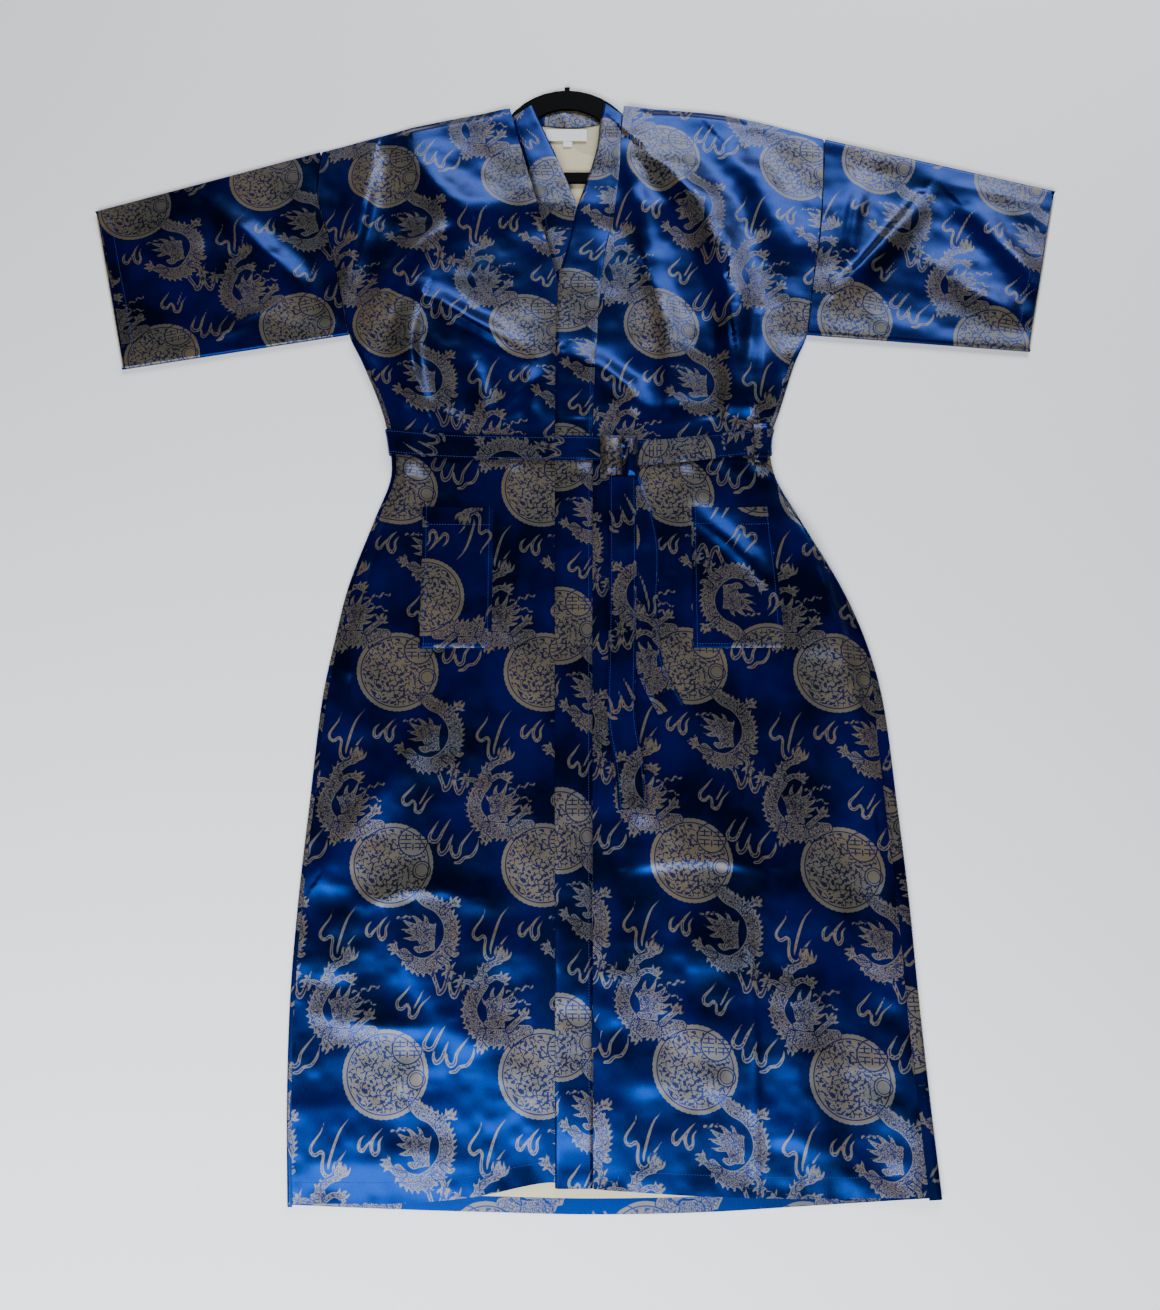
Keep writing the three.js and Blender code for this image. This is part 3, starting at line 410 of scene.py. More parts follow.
def cloth(name, face, reverse, places, materials, coarse=4, ring=False, sharp=50, turned=(0, 0)):
    """A closed shell of cloth between two grids of points in mm. Its reverse takes every few points only.

    Its places are those of its points on the uncut cloth, in mm from the middle of a roundel of the weave.
    The numbers in turned say how many rows at either end of the reverse show the right side, as a
    hem turned up does."""
    rows, columns = face.shape[:2]
    keep_r = np.arange(0, rows, coarse)
    keep_c = np.arange(0, columns, coarse)
    back_grid = reverse[keep_r][:, keep_c]
    n_r, n_c = len(keep_r), len(keep_c)
    verts = np.concatenate([face.reshape(-1, 3), back_grid.reshape(-1, 3)])
    verts = (verts - (0, MIDDLE_Y, 0)) * 0.001
    start = rows * columns

    def top(r, c):
        return r * columns + c % columns

    def under(r, c):
        return start + r * n_c + c % n_c

    spans = columns if ring else columns - 1
    spans_c = n_c if ring else n_c - 1
    r, c = np.meshgrid(np.arange(rows - 1), np.arange(spans), indexing="ij")
    quads = np.stack([top(r, c), top(r, c + 1), top(r + 1, c + 1), top(r + 1, c)], -1).reshape(-1, 4)
    r, c = np.meshgrid(np.arange(n_r - 1), np.arange(spans_c), indexing="ij")
    quads_under = np.stack([under(r, c), under(r + 1, c), under(r + 1, c + 1), under(r, c + 1)],
                           -1).reshape(-1, 4)
    rim = []
    for j in range(spans_c):
        low = [top(0, j * coarse + k) for k in range(coarse + 1)]
        high = [top(rows - 1, j * coarse + k) for k in range(coarse + 1)]
        rim.append(low[::-1] + [under(0, j), under(0, j + 1)])
        rim.append(high + [under(n_r - 1, j + 1), under(n_r - 1, j)])
    if not ring:
        for j in range(n_r - 1):
            first = [top(j * coarse + k, 0) for k in range(coarse + 1)]
            last = [top(j * coarse + k, columns - 1) for k in range(coarse + 1)]
            rim.append(first + [under(j + 1, 0), under(j, 0)])
            rim.append(last[::-1] + [under(j, n_c - 1), under(j + 1, n_c - 1)])
    faces = quads.tolist() + quads_under.tolist() + rim
    a, b, d = verts[quads[:, 0]], verts[quads[:, 1]], verts[quads[:, 3]]
    e, f, g = verts[quads_under[:, 0]], verts[quads_under[:, 1]], verts[quads_under[:, 3]]
    volume = np.einsum("ij,ij->", np.cross(b - a, d - a), a) + np.einsum("ij,ij->", np.cross(f - e, g - e), e)
    if volume < 0:
        faces = [loop[::-1] for loop in faces]
    mesh = bpy.data.meshes.new(name)
    mesh.from_pydata(verts.tolist(), [], faces)
    for item in materials:
        mesh.materials.append(item)
    kinds = np.zeros(len(faces), np.int32)
    first, last = turned[0] * spans_c, len(quads_under) - turned[1] * spans_c
    kinds[len(quads) + first:len(quads) + last] = len(materials) - 1
    mesh.polygons.foreach_set("material_index", kinds)
    mesh.polygons.foreach_set("use_smooth", np.ones(len(faces), bool))
    mesh.set_sharp_from_angle(angle=radians(sharp))
    mesh.update()
    weave_on(mesh, np.concatenate([places.reshape(-1, 2), places[keep_r][:, keep_c].reshape(-1, 2)]))
    piece = bpy.data.objects.new(name, mesh)
    bpy.context.scene.collection.objects.link(piece)
    return piece


def declare(piece, node):
    """Ties a cloth piece to the frame and hides the model part it stands in for, if one is named."""
    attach(piece, "root")
    if node:
        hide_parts(node)


# Figured satin, a polyester brocade. Its deep blue satin ground mirrors light softly, in azure, and is nearly
# black elsewhere. The figure is a duller weft of grey gold, with the ground's dark lines showing through it.
satin, tree, shader = material("figured_satin")
place = add(tree, "ShaderNodeAttribute", {"attribute_name": "cloth"}).outputs["Vector"]
chart = add(tree, "ShaderNodeAttribute", {"attribute_name": "weave"})
fields = add(tree, "ShaderNodeSeparateXYZ", i0=chart.outputs["Vector"])
LOWEST, HIGHEST, TIMES, NEAR, BELOW, ABOVE, TIMES_PLUS = (
    {"operation": kind} for kind in ("MINIMUM", "MAXIMUM", "MULTIPLY", "COMPARE", "LESS_THAN", "GREATER_THAN",
                                     "MULTIPLY_ADD"))
OUTLINE = 1.0
clear_of_bodies, clear_of_heads = (
    add(tree, "ShaderNodeMath", TIMES_PLUS, i0=fields.outputs[k], i1=-1.0,
        i2=-OUTLINE).outputs[0] for k in (1, 2))
body = add(tree, "ShaderNodeMath", LOWEST, i0=fields.outputs[1], i1=clear_of_heads).outputs[0]
clear = add(tree, "ShaderNodeMath", LOWEST, i0=clear_of_bodies, i1=clear_of_heads).outputs[0]
cloud = add(tree, "ShaderNodeMath", LOWEST, i0=fields.outputs[0], i1=clear).outputs[0]
figure = add(tree, "ShaderNodeMath", HIGHEST, i0=body, i1=cloud).outputs[0]
figure = add(tree, "ShaderNodeMath", HIGHEST, i0=figure, i1=fields.outputs[2]).outputs[0]
figure = add(tree, "ShaderNodeMapRange", Value=figure, From_Min=-0.35, From_Max=0.35).outputs[0]

# Dark lines inside the figure: a rim and leaf work in the roundel, a key fret, a double ring, and scales.
spot = add(tree, "ShaderNodeVectorMath", {"operation": "WRAP"}, i0=place, i1=(TILE[0] / 2, TILE[1] / 2, 1.0),
           i2=(-TILE[0] / 2, -TILE[1] / 2, -1.0)).outputs["Vector"]
from_middle, from_fret, from_ring = (
    add(tree, "ShaderNodeVectorMath", {"operation": "DISTANCE"}, i0=spot, i1=(x, y, 0.0)).outputs["Value"]
    for x, y in ((0.0, 0.0), FRET[:2], RING[:2]))
rings = [(from_middle, 42.6, 0.7), (from_fret, FRET[2], 0.8), (from_ring, RING[2], 0.7),
         (from_ring, 7.2, 0.5)]
lines = [add(tree, "ShaderNodeMath", NEAR, i0=away, i1=radius, i2=half).outputs[0] for away, radius,
         half in rings]
bend = add(tree, "ShaderNodeTexNoise", FLAT_NOISE, Vector=spot, Scale=0.15, Detail=1.0)
bent = add(tree, "ShaderNodeVectorMath", {"operation": "MULTIPLY_ADD"}, i0=bend.outputs["Color"],
           i1=(9.0, 9.0, 0.0),
           i2=spot).outputs["Vector"]
leaves = add(tree, "ShaderNodeTexVoronoi", {"feature": "DISTANCE_TO_EDGE", "voronoi_dimensions": "2D"},
             Vector=bent, Scale=0.16, Randomness=1.0).outputs["Distance"]
leaf_line = add(tree, "ShaderNodeMath", BELOW, i0=leaves, i1=0.15).outputs[0]
broken = add(tree, "ShaderNodeTexNoise", FLAT_NOISE, Vector=spot, Scale=0.24, Detail=2.0)
for value, limit, side in ((broken.outputs["Fac"], 0.42, ABOVE), (from_middle, 41.0, BELOW),
                           (from_fret, FRET[2] + 0.6, ABOVE), (from_ring, RING[2] + 0.6, ABOVE)):
    test = add(tree, "ShaderNodeMath", side, i0=value, i1=limit).outputs[0]
    leaf_line = add(tree, "ShaderNodeMath", TIMES, i0=leaf_line, i1=test).outputs[0]
lines.append(leaf_line)
offset = add(tree, "ShaderNodeVectorMath", {"operation": "SUBTRACT"}, i0=spot,
             i1=(*FRET[:2], 0.0)).outputs["Vector"]
sides = add(tree, "ShaderNodeSeparateXYZ", i0=add(tree, "ShaderNodeVectorMath", {"operation": "ABSOLUTE"},
                                                  i0=offset).outputs["Vector"])
bars = add(tree, "ShaderNodeMath", {"operation": "PINGPONG"}, i0=sides.outputs[1], i1=2.3).outputs[0]
bars = add(tree, "ShaderNodeMath", ABOVE, i0=bars, i1=1.6).outputs[0]
uprights = add(tree, "ShaderNodeMath", {"operation": "PINGPONG"}, i0=sides.outputs[0], i1=4.0).outputs[0]
uprights = add(tree, "ShaderNodeMath", BELOW, i0=uprights, i1=0.8).outputs[0]
tall = add(tree, "ShaderNodeMath", ABOVE, i0=sides.outputs[1], i1=2.6).outputs[0]
uprights = add(tree, "ShaderNodeMath", TIMES, i0=uprights, i1=tall).outputs[0]
broad = add(tree, "ShaderNodeMath", ABOVE, i0=sides.outputs[0], i1=2.0).outputs[0]
bars = add(tree, "ShaderNodeMath", TIMES, i0=bars, i1=broad).outputs[0]
key = add(tree, "ShaderNodeMath", HIGHEST, i0=bars, i1=uprights).outputs[0]
for value, limit, side in ((from_fret, FRET[2] - 1.5, BELOW), (sides.outputs[1], 9.6, BELOW)):
    test = add(tree, "ShaderNodeMath", side, i0=value, i1=limit).outputs[0]
    key = add(tree, "ShaderNodeMath", TIMES, i0=key, i1=test).outputs[0]
lines.append(key)
scales = add(tree, "ShaderNodeTexVoronoi", {"feature": "DISTANCE_TO_EDGE", "voronoi_dimensions": "2D"},
             Vector=bent, Scale=0.36, Randomness=1.0).outputs["Distance"]
scales = add(tree, "ShaderNodeMath", BELOW, i0=scales, i1=0.15).outputs[0]
inside = add(tree, "ShaderNodeMath", HIGHEST, i0=fields.outputs[1], i1=fields.outputs[2]).outputs[0]
inside = add(tree, "ShaderNodeMath", ABOVE, i0=inside, i1=0.9).outputs[0]
lines.append(add(tree, "ShaderNodeMath", TIMES, i0=scales, i1=inside).outputs[0])
hollow = add(tree, "ShaderNodeMath", ABOVE, i0=fields.outputs[0], i1=1.0).outputs[0]
outside = add(tree, "ShaderNodeMath", ABOVE, i0=from_middle, i1=ROUNDEL + 2.0).outputs[0]
lines.append(add(tree, "ShaderNodeMath", TIMES, i0=hollow, i1=outside).outputs[0])
lines.append(add(tree, "ShaderNodeMapRange", Value=chart.outputs["Alpha"], From_Min=-0.4,
                 From_Max=0.3).outputs[0])
ink = lines[0]
for line in lines[1:]:
    ink = add(tree, "ShaderNodeMath", HIGHEST, i0=ink, i1=line).outputs[0]
ink = add(tree, "ShaderNodeMath", TIMES_PLUS, i0=ink, i1=-0.85, i2=1.0).outputs[0]
figure = add(tree, "ShaderNodeMath", TIMES, i0=figure, i1=ink, ).outputs[0]

# Colour, shine and the fine run of the threads, about two to a millimetre, drawn coarser as soft streaks.
drift = add(tree, "ShaderNodeTexNoise", FLAT_NOISE, Vector=place, Scale=0.012, Detail=3.0).outputs["Fac"]
drift = add(tree, "ShaderNodeMapRange", Value=drift, From_Min=0.36, From_Max=0.66).outputs[0]
gold = add(tree, "ShaderNodeMix", COLOUR_MIX, i0=drift, i6=linear("#38342A"), i7=linear("#524830")).outputs[2]
ground = add(tree, "ShaderNodeMix", COLOUR_MIX, i0=drift, i6=linear("#000008"),
             i7=linear("#000036")).outputs[2]
for socket, low, high in (("Base Color", ground, gold),
                          ("Specular Tint", linear("#006CFF"), linear("#E2E8F8"))):
    blend = add(tree, "ShaderNodeMix", COLOUR_MIX, i0=figure, i6=low, i7=high).outputs[2]
    tree.links.new(blend, shader.inputs[socket])
threads = add(tree, "ShaderNodeVectorMath", {"operation": "MULTIPLY"}, i0=place,
              i1=(1.1, 0.16, 0.0)).outputs["Vector"]
threads = add(tree, "ShaderNodeTexNoise", FLAT_NOISE, Vector=threads, Scale=1.0, Detail=2.0).outputs["Fac"]
rough = add(tree, "ShaderNodeMapRange", Value=threads, To_Min=0.24, To_Max=0.34).outputs[0]
rough = add(tree, "ShaderNodeMath", TIMES_PLUS, i0=figure, i1=0.14, i2=rough).outputs[0]
tree.links.new(rough, shader.inputs["Roughness"])
shader.inputs["IOR"].default_value = 1.78
mirror = add(tree, "ShaderNodeMapRange", Value=figure, To_Min=0.46, To_Max=0.5).outputs[0]
tree.links.new(mirror, shader.inputs["Specular IOR Level"])
height = add(tree, "ShaderNodeMath", TIMES_PLUS, i0=threads, i1=0.5, i2=figure).outputs[0]
bump = add(tree, "ShaderNodeBump", Strength=0.5, Distance=0.00006, Height=height)
tree.links.new(bump.outputs["Normal"], shader.inputs["Normal"])

# The satin's reverse, where the grey-gold weft floats: dull cream with a faint trace of the figure.
reverse_side, tree, shader = material("satin_reverse")
place = add(tree, "ShaderNodeAttribute", {"attribute_name": "cloth"}).outputs["Vector"]
chart = add(tree, "ShaderNodeAttribute", {"attribute_name": "weave"})
fields = add(tree, "ShaderNodeSeparateXYZ", i0=chart.outputs["Vector"])
trace = add(tree, "ShaderNodeMapRange", Value=fields.outputs[0], From_Min=-1.5, From_Max=1.5).outputs[0]
tone = add(tree, "ShaderNodeMix", COLOUR_MIX, i0=trace, i6=linear("#CBC09A"), i7=linear("#B9B08C")).outputs[2]
fibres = add(tree, "ShaderNodeVectorMath", {"operation": "MULTIPLY"}, i0=place,
             i1=(0.2, 1.2, 0.0)).outputs["Vector"]
fibres = add(tree, "ShaderNodeTexNoise", FLAT_NOISE, Vector=fibres, Scale=1.0, Detail=3.0).outputs["Fac"]
shade = add(tree, "ShaderNodeMapRange", Value=fibres, To_Min=0.86, To_Max=1.08).outputs[0]
tone = add(tree, "ShaderNodeVectorMath", {"operation": "SCALE"}, i0=tone, i3=shade).outputs["Vector"]
tree.links.new(tone, shader.inputs["Base Color"])
shader.inputs["Roughness"].default_value = 0.55
bump = add(tree, "ShaderNodeBump", Strength=0.4, Distance=0.00006, Height=fibres)
tree.links.new(bump.outputs["Normal"], shader.inputs["Normal"])

levels = steps(HEM_LEVEL, TOP_LEVEL, 4.0, 2)


def neck_or_shoulder(x):
    inside = (x > NECK_BAND["seam_x"][0] - 1) & (x < NECK_BAND["seam_x"][-1] + 1)
    return np.where(inside, follow(NECK_BAND, "seam_x", "seam_y", x) - GAP, shoulder_y(x))


def back_grid(offset):
    """Points of the back, at an offset in from its outer face."""
    level = levels[:, None]
    radius = side_radius(level)
    right = follow(BODY, "level", "right", level) + radius
    left = follow(BODY, "level", "left", level) - radius
    r = radius - offset
    turn = np.linspace(0, pi, 9)[None, :]
    share = steps(0, 1, 3.0 / 650, 2)[None, 1:-1]
    wrap = left_wrap(level)
    strips = np.linspace(0, 1, 4)[None, :-1]
    xs = [right + seam_inset(level) * (1 - strips), right - r * np.sin(turn), right + (left - right) * share,
          left + r * np.sin(turn), left - wrap * (1 - strips[:, ::-1])]
    rises = [r + 0 * strips, r * np.cos(turn), -r + 0 * share, -r * np.cos(turn), r + 0 * strips]
    x = np.concatenate(xs, 1)
    rise = np.concatenate([np.broadcast_to(v, (len(levels), v.shape[1])) for v in rises], 1)
    y = row_y(level, x, BACK_HEM, neck_or_shoulder)
    return np.stack([x, y, radius + rise + back_lift(y)], -1)



face = back_grid(0.0)
inner = back_grid(CLOTH)
run = np.cumsum(np.hypot(*np.moveaxis(np.diff(face[..., ::2], axis=1, prepend=face[:, :1, ::2]), -1, 0)), 1)
run = run - run[:, run.shape[1] // 2][:, None]
places = np.stack([34 - run, face[..., 1] + 40], -1)
back = cloth("back_cloth", face, inner, places, [satin, reverse_side], coarse=2, turned=(2, 0))
declare(back, "back")

# ---------------------------------------------------------------- fronts
# Two pieces of the same satin, from hem to shoulder. The left front laps over the right.
# Their folds were pressed in by hand as the robe was laid out, and they gather at the belt.

RIGHT_BAND = table("y seam edge",
                   (-700, -15, 30), (300, -15, 30), (380, -18, 28), (430, -27, 21), (478, -40, 12),
                   (520, -50, 1),
                   (560, -61, -15), (593, -70, -28), (622, -78, -41), (650, -85, -53), (675, -92, -64))
LEFT_BAND = table("y seam edge",
                  (-700, 19, -22), (213, 21, -26), (347, 27, -25), (402, 31, -23), (431, 34, -20),
                  (457, 38, -12),
                  (493, 46, -4), (514, 50, 1), (566, 56, 18), (600, 58, 27), (633, 60, 31), (660, 62, 36),
                  (680, 63, 39))
HANGER_X, HANGER_BAR_LOW, HANGER_HALF, HANGER_ARCH_HALF = -12.0, 552.0, 200.0, 78.0
HANGER_LIFT = 4.4
FOLDS = [
    # from, bend, to, width, height, lean: below zero it is steeper on the side to the right of its run
    ((-146, 490), (-232, 452), (-258, 338), 17, 16, -0.4),
    ((-196, 394), (-146, 362), (-70, 318), 12, 10, 0.35),
    ((-262, 580), (-272, 500), (-300, 380), 16, 12, -0.4),
    ((-212, 604), (-196, 545), (-128, 500), 26, 10, 0.2),
    ((-196, 384), (-222, 320), (-190, 250), 16, 13, -0.4), ((-100, 236), (-60, 262), (-24, 310), 12, 9, 0.3),
    ((-130, 300), (-112, 262), (-120, 226), 11, 6, 0.0),
    ((92, 590), (182, 500), (192, 372), 27, 22, 0.5), ((192, 400), (190, 300), (194, 222), 21, 17, 0.5),
    ((196, 600), (262, 520), (262, 420), 26, 9, 0.2), ((74, 610), (70, 540), (96, 452), 16, 8, 0.0),
    ((92, 430), (124, 350), (116, 240), 16, 9, 0.3), ((8, 300), (62, 284), (84, 224), 14, 10, 0.2),
    ((236, 360), (238, 290), (212, 226), 16, 9, 0.3), ((-86, -66), (-194, -178), (-286, -318), 20, 9, 0.3),
    ((132, 110), (190, 70), (232, 12), 14, 8, 0.3), ((262, 100), (318, -30), (344, -250), 24, 12, -0.4),
    ((-206, 146), (-240, 50), (-262, -90), 20, 11, 0.3), ((60, -150), (120, -300), (110, -470), 34, 5, 0.2),
    ((-210, -380), (-160, -470), (-60, -560), 34, 5, 0.2),
    ((300, -330), (240, -450), (250, -600), 34, 6, 0.2),
    ((64, -318), (140, -300), (214, -318), 12, 3.5, 0.3),
    ((-300, -470), (-230, -500), (-150, -486), 14, 3.0, 0.2),
    ((199, -380), (201, -520), (197, -655), 5, 1.2, 0.0),
    ((-240, -360), (-180, -330), (-120, -350), 12, 3.0, 0.2),
    ((-470, 516), (-402, 454), (-345, 400), 14, 9, 0.35),
    ((-480, 322), (-423, 346), (-372, 384), 14, 7, -0.2),
    ((-590, 470), (-520, 440), (-450, 446), 18, 5, 0.2),
    ((446, 530), (389, 454), (338, 402), 14, 12, 0.35), ((500, 516), (566, 440), (590, 392), 18, 8, 0.3),
    ((470, 420), (520, 380), (560, 366), 16, 6, 0.2), ((372, 560), (352, 500), (344, 440), 12, 6, 0.2),
]


def ridge(x, y, start, bend, end, width, height, lean=0.0, samples=10):
    """A soft ridge along a bent line, tapering to both ends, and steeper on one side if it leans."""
    t = np.linspace(0, 1, samples + 1)[:, None]
    start, bend, end = (np.array(p, float) for p in (start, bend, end))
    line = (1 - t) ** 2 * start + 2 * t * (1 - t) * bend + t ** 2 * end
    reach = 3.2 * width
    near = ((x > line[:, 0].min() - reach) & (x < line[:, 0].max() + reach)
            & (y > line[:, 1].min() - reach) & (y < line[:, 1].max() + reach))
    px, py = x[near], y[near]
    best = np.full(px.shape, 1e9)
    place = np.zeros(px.shape)
    side = np.ones(px.shape)
    for i in range(samples):
        a, d = line[i], line[i + 1] - line[i]
        u = np.clip(((px - a[0]) * d[0] + (py - a[1]) * d[1]) / (d @ d), 0, 1)
        away_x, away_y = px - a[0] - u * d[0], py - a[1] - u * d[1]
        distance = np.hypot(away_x, away_y)
        closer = distance < best
        best = np.where(closer, distance, best)
        place = np.where(closer, (i + u) / samples, place)
        side = np.where(closer, np.sign(d[0] * away_y - d[1] * away_x), side)
    spread = width * (1 + lean * side)
    result = np.zeros(x.shape)
    result[near] = height * np.sin(pi * (0.12 + 0.76 * place)) * np.exp(-(best / spread) ** 2)
    return result


def gathers(x, y, side, count, first, last, near, far, width, height):
    """Short ridges that spread from the belt."""
    away = side * (y - BELT_Y)
    total = np.zeros(x.shape)
    for i in range(count):
        middle = (first + (last - first) * i / (count - 1)) * (1 + 0.12 * away / far)
        reach = far * (0.72 + 0.28 * sin(2.4 * i + 1))
        along = smooth(away, 0, near + 8) * (1 - smooth(away, near + 10, reach))
        total += height * np.exp(-((x - middle) / width) ** 2) * along
    return np.where(away < 0, 0, total)


def ripple(x, y, size, seed):
    """Smooth uneven height between -1 and 1, with hills of about a given size."""
    rng = np.random.default_rng(seed)
    lattice = rng.uniform(-1, 1, (64, 64))
    u, v = x / size + 31.7, y / size + 29.3
    i, j = np.floor(u).astype(int), np.floor(v).astype(int)
    fu, fv = u - i, v - j
    fu, fv = fu ** 3 * (fu * (6 * fu - 15) + 10), fv ** 3 * (fv * (6 * fv - 15) + 10)
    at = lambda a, b: lattice[a % 64, b % 64]
    return ((at(i, j) * (1 - fu) + at(i + 1, j) * fu) * (1 - fv)
            + (at(i, j + 1) * (1 - fu) + at(i + 1, j + 1) * fu) * fv)


def fold_height(x, y):
    """How far folds raise the topmost cloth."""
    total = sum(ridge(x, y, *fold) for fold in FOLDS)
    inside = np.abs(x) < 262
    total = total + inside * gathers(x, y, -1, 11, -196, 208, 14, 100, 12, 6)
    total = total + inside * gathers(x, y, 1, 9, -200, 208, 16, 74, 12, 5)
    soft = (1.7 * ripple(x, 1.5 * y, 66, 5) + 0.95 * ripple(0.8 * x + 40, 1.25 * y, 31, 8)
            + 0.32 * ripple(x, y, 14, 3))
    return (total + 0.9 + soft) * (1 - 0.9 * strip(y, BELT_Y, 22, 48))


def hanger_lift(x, y):
    across = 1 - smooth(np.abs(x - HANGER_X), HANGER_HALF + 5, HANGER_HALF + 42)
    return HANGER_LIFT * across * smooth(y, HANGER_BAR_LOW - 70, HANGER_BAR_LOW - 30)


def rest_height(x, y, edge_distance, edge_height):
    edge_rise = np.maximum(edge_height - WALL - LOW, -0.3) * np.exp(-(edge_distance / 30) ** 2)
    return LOW + back_lift(y) + hanger_lift(x, y) + edge_rise


def under_fade(x, y):
    """How much of its folds the right front keeps: none where it runs under the left band."""
    cover = follow(LEFT_BAND, "y", "edge", y)
    return 1 - smooth(x, cover - 34, cover - 6)


def overlap_lift(x, y):
    """Extra height where the left front lies over the right front and its band."""
    reach = follow(RIGHT_BAND, "y", "edge", y)
    return (OVER - LOW) * (1 - smooth(x, reach + 6, reach + 36))


def front_height(side, x, y, edge_distance=np.inf, edge_height=2 * SIDE_RADIUS):
    """Underside of a front, as its solid has it."""
    height = rest_height(x, y, edge_distance, edge_height)
    if side == "right":
        return height + fold_height(x, y) * under_fade(x, y)
    return height + fold_height(x, y) + overlap_lift(x, y)


def seam_x(band, level):
    x = follow(band, "y", "seam", level)
    for _ in range(4):
        x = follow(band, "y", "seam", row_y(level, x))
    return x


def front_face(side, coarse=4):
    """Points of a front's right side, from its band out to the side seam and the armhole."""
    outward, band = (-1, RIGHT_BAND) if side == "right" else (1, LEFT_BAND)
    level = steps(HEM_LEVEL, TOP_LEVEL, PITCH, coarse)[:, None]
    radius = side_radius(level)
    inset = seam_inset(level) if side == "right" else left_wrap(level)
    outer = follow(BODY, "level", side, level) - outward * (radius + inset + GAP)
    inner = seam_x(band, level) + outward * GAP
    share = steps(0, 1, PITCH / 350, coarse)[None, :]
    x = inner + (outer - inner) * share
    y = row_y(level, x)
    z = front_height(side, x, y, np.abs(x - outer), 2 * radius)
    drop = smooth(np.abs(x - HANGER_X), HANGER_ARCH_HALF + 2, HANGER_ARCH_HALF + 42) * smooth(level, 588,
                                                                                              TOP_LEVEL)
    z = LOW + (z - LOW) * (1 - 0.7 * drop)
    return np.stack([x, y, z + WALL], -1)


def lowered(face, by, reach=4):
    """The reverse of a face: its points moved down, below the lowest of those around them."""
    low = face[..., 2]
    for axis in (0, 1):
        ends = [(reach, reach) if k == axis else (0, 0) for k in (0, 1)]
        held = np.pad(low, ends, mode="edge")
        count = low.shape[axis]
        low = np.min([np.take(held, np.arange(count) + k, axis) for k in range(2 * reach + 1)], 0)
    return np.concatenate([face[..., :2], (low - by)[..., None]], -1)


# Rows of roundels up each front: y on the robe, how far along the cloth, and x of one column of them.
FRONT_WEAVE = {
    "right": table("y along x", (-769, -227, -38), (-542, 0, -38), (-315, 227, -38), (-91, 454, -38),
                   (135, 681, -44), (352, 908, -62), (560, 1135, -76), (780, 1362, -80)),
    "left": table("y along x", (-764, -227, 133), (-537, 0, 133), (-310, 227, 133), (-83, 454, 133),
                  (133, 681, 122), (350, 908, 108), (583, 1135, 113), (800, 1362, 113)),
}


# Sewing thread in the cloth's own blue: a lock stitch shows as a row of short plump dashes on the surface.
def thread_finish(name, code):
    """Spun polyester thread: round, slightly glossy, with a faint twist along it."""
    item, tree, shader = material(name)
    twist = add(tree, "ShaderNodeTexWave", Vector=add(tree, "ShaderNodeTexCoord").outputs["Object"],
                Scale=900.0)
    shade = add(tree, "ShaderNodeMix", COLOUR_MIX, i0=twist.outputs["Fac"], i6=linear(code),
                i7=[0.6 * v for v in linear(code)[:3]] + [1.0]).outputs[2]
    tree.links.new(shade, shader.inputs["Base Color"])
    shader.inputs["Roughness"].default_value = 0.5
    return item


blue_thread = thread_finish("blue_polyester_thread", "#1A3FA8")
cream_thread = thread_finish("cream_overlock_thread", "#D8CDA6")
STITCH = dict(length=2.4, width=0.55, pitch=3.2)


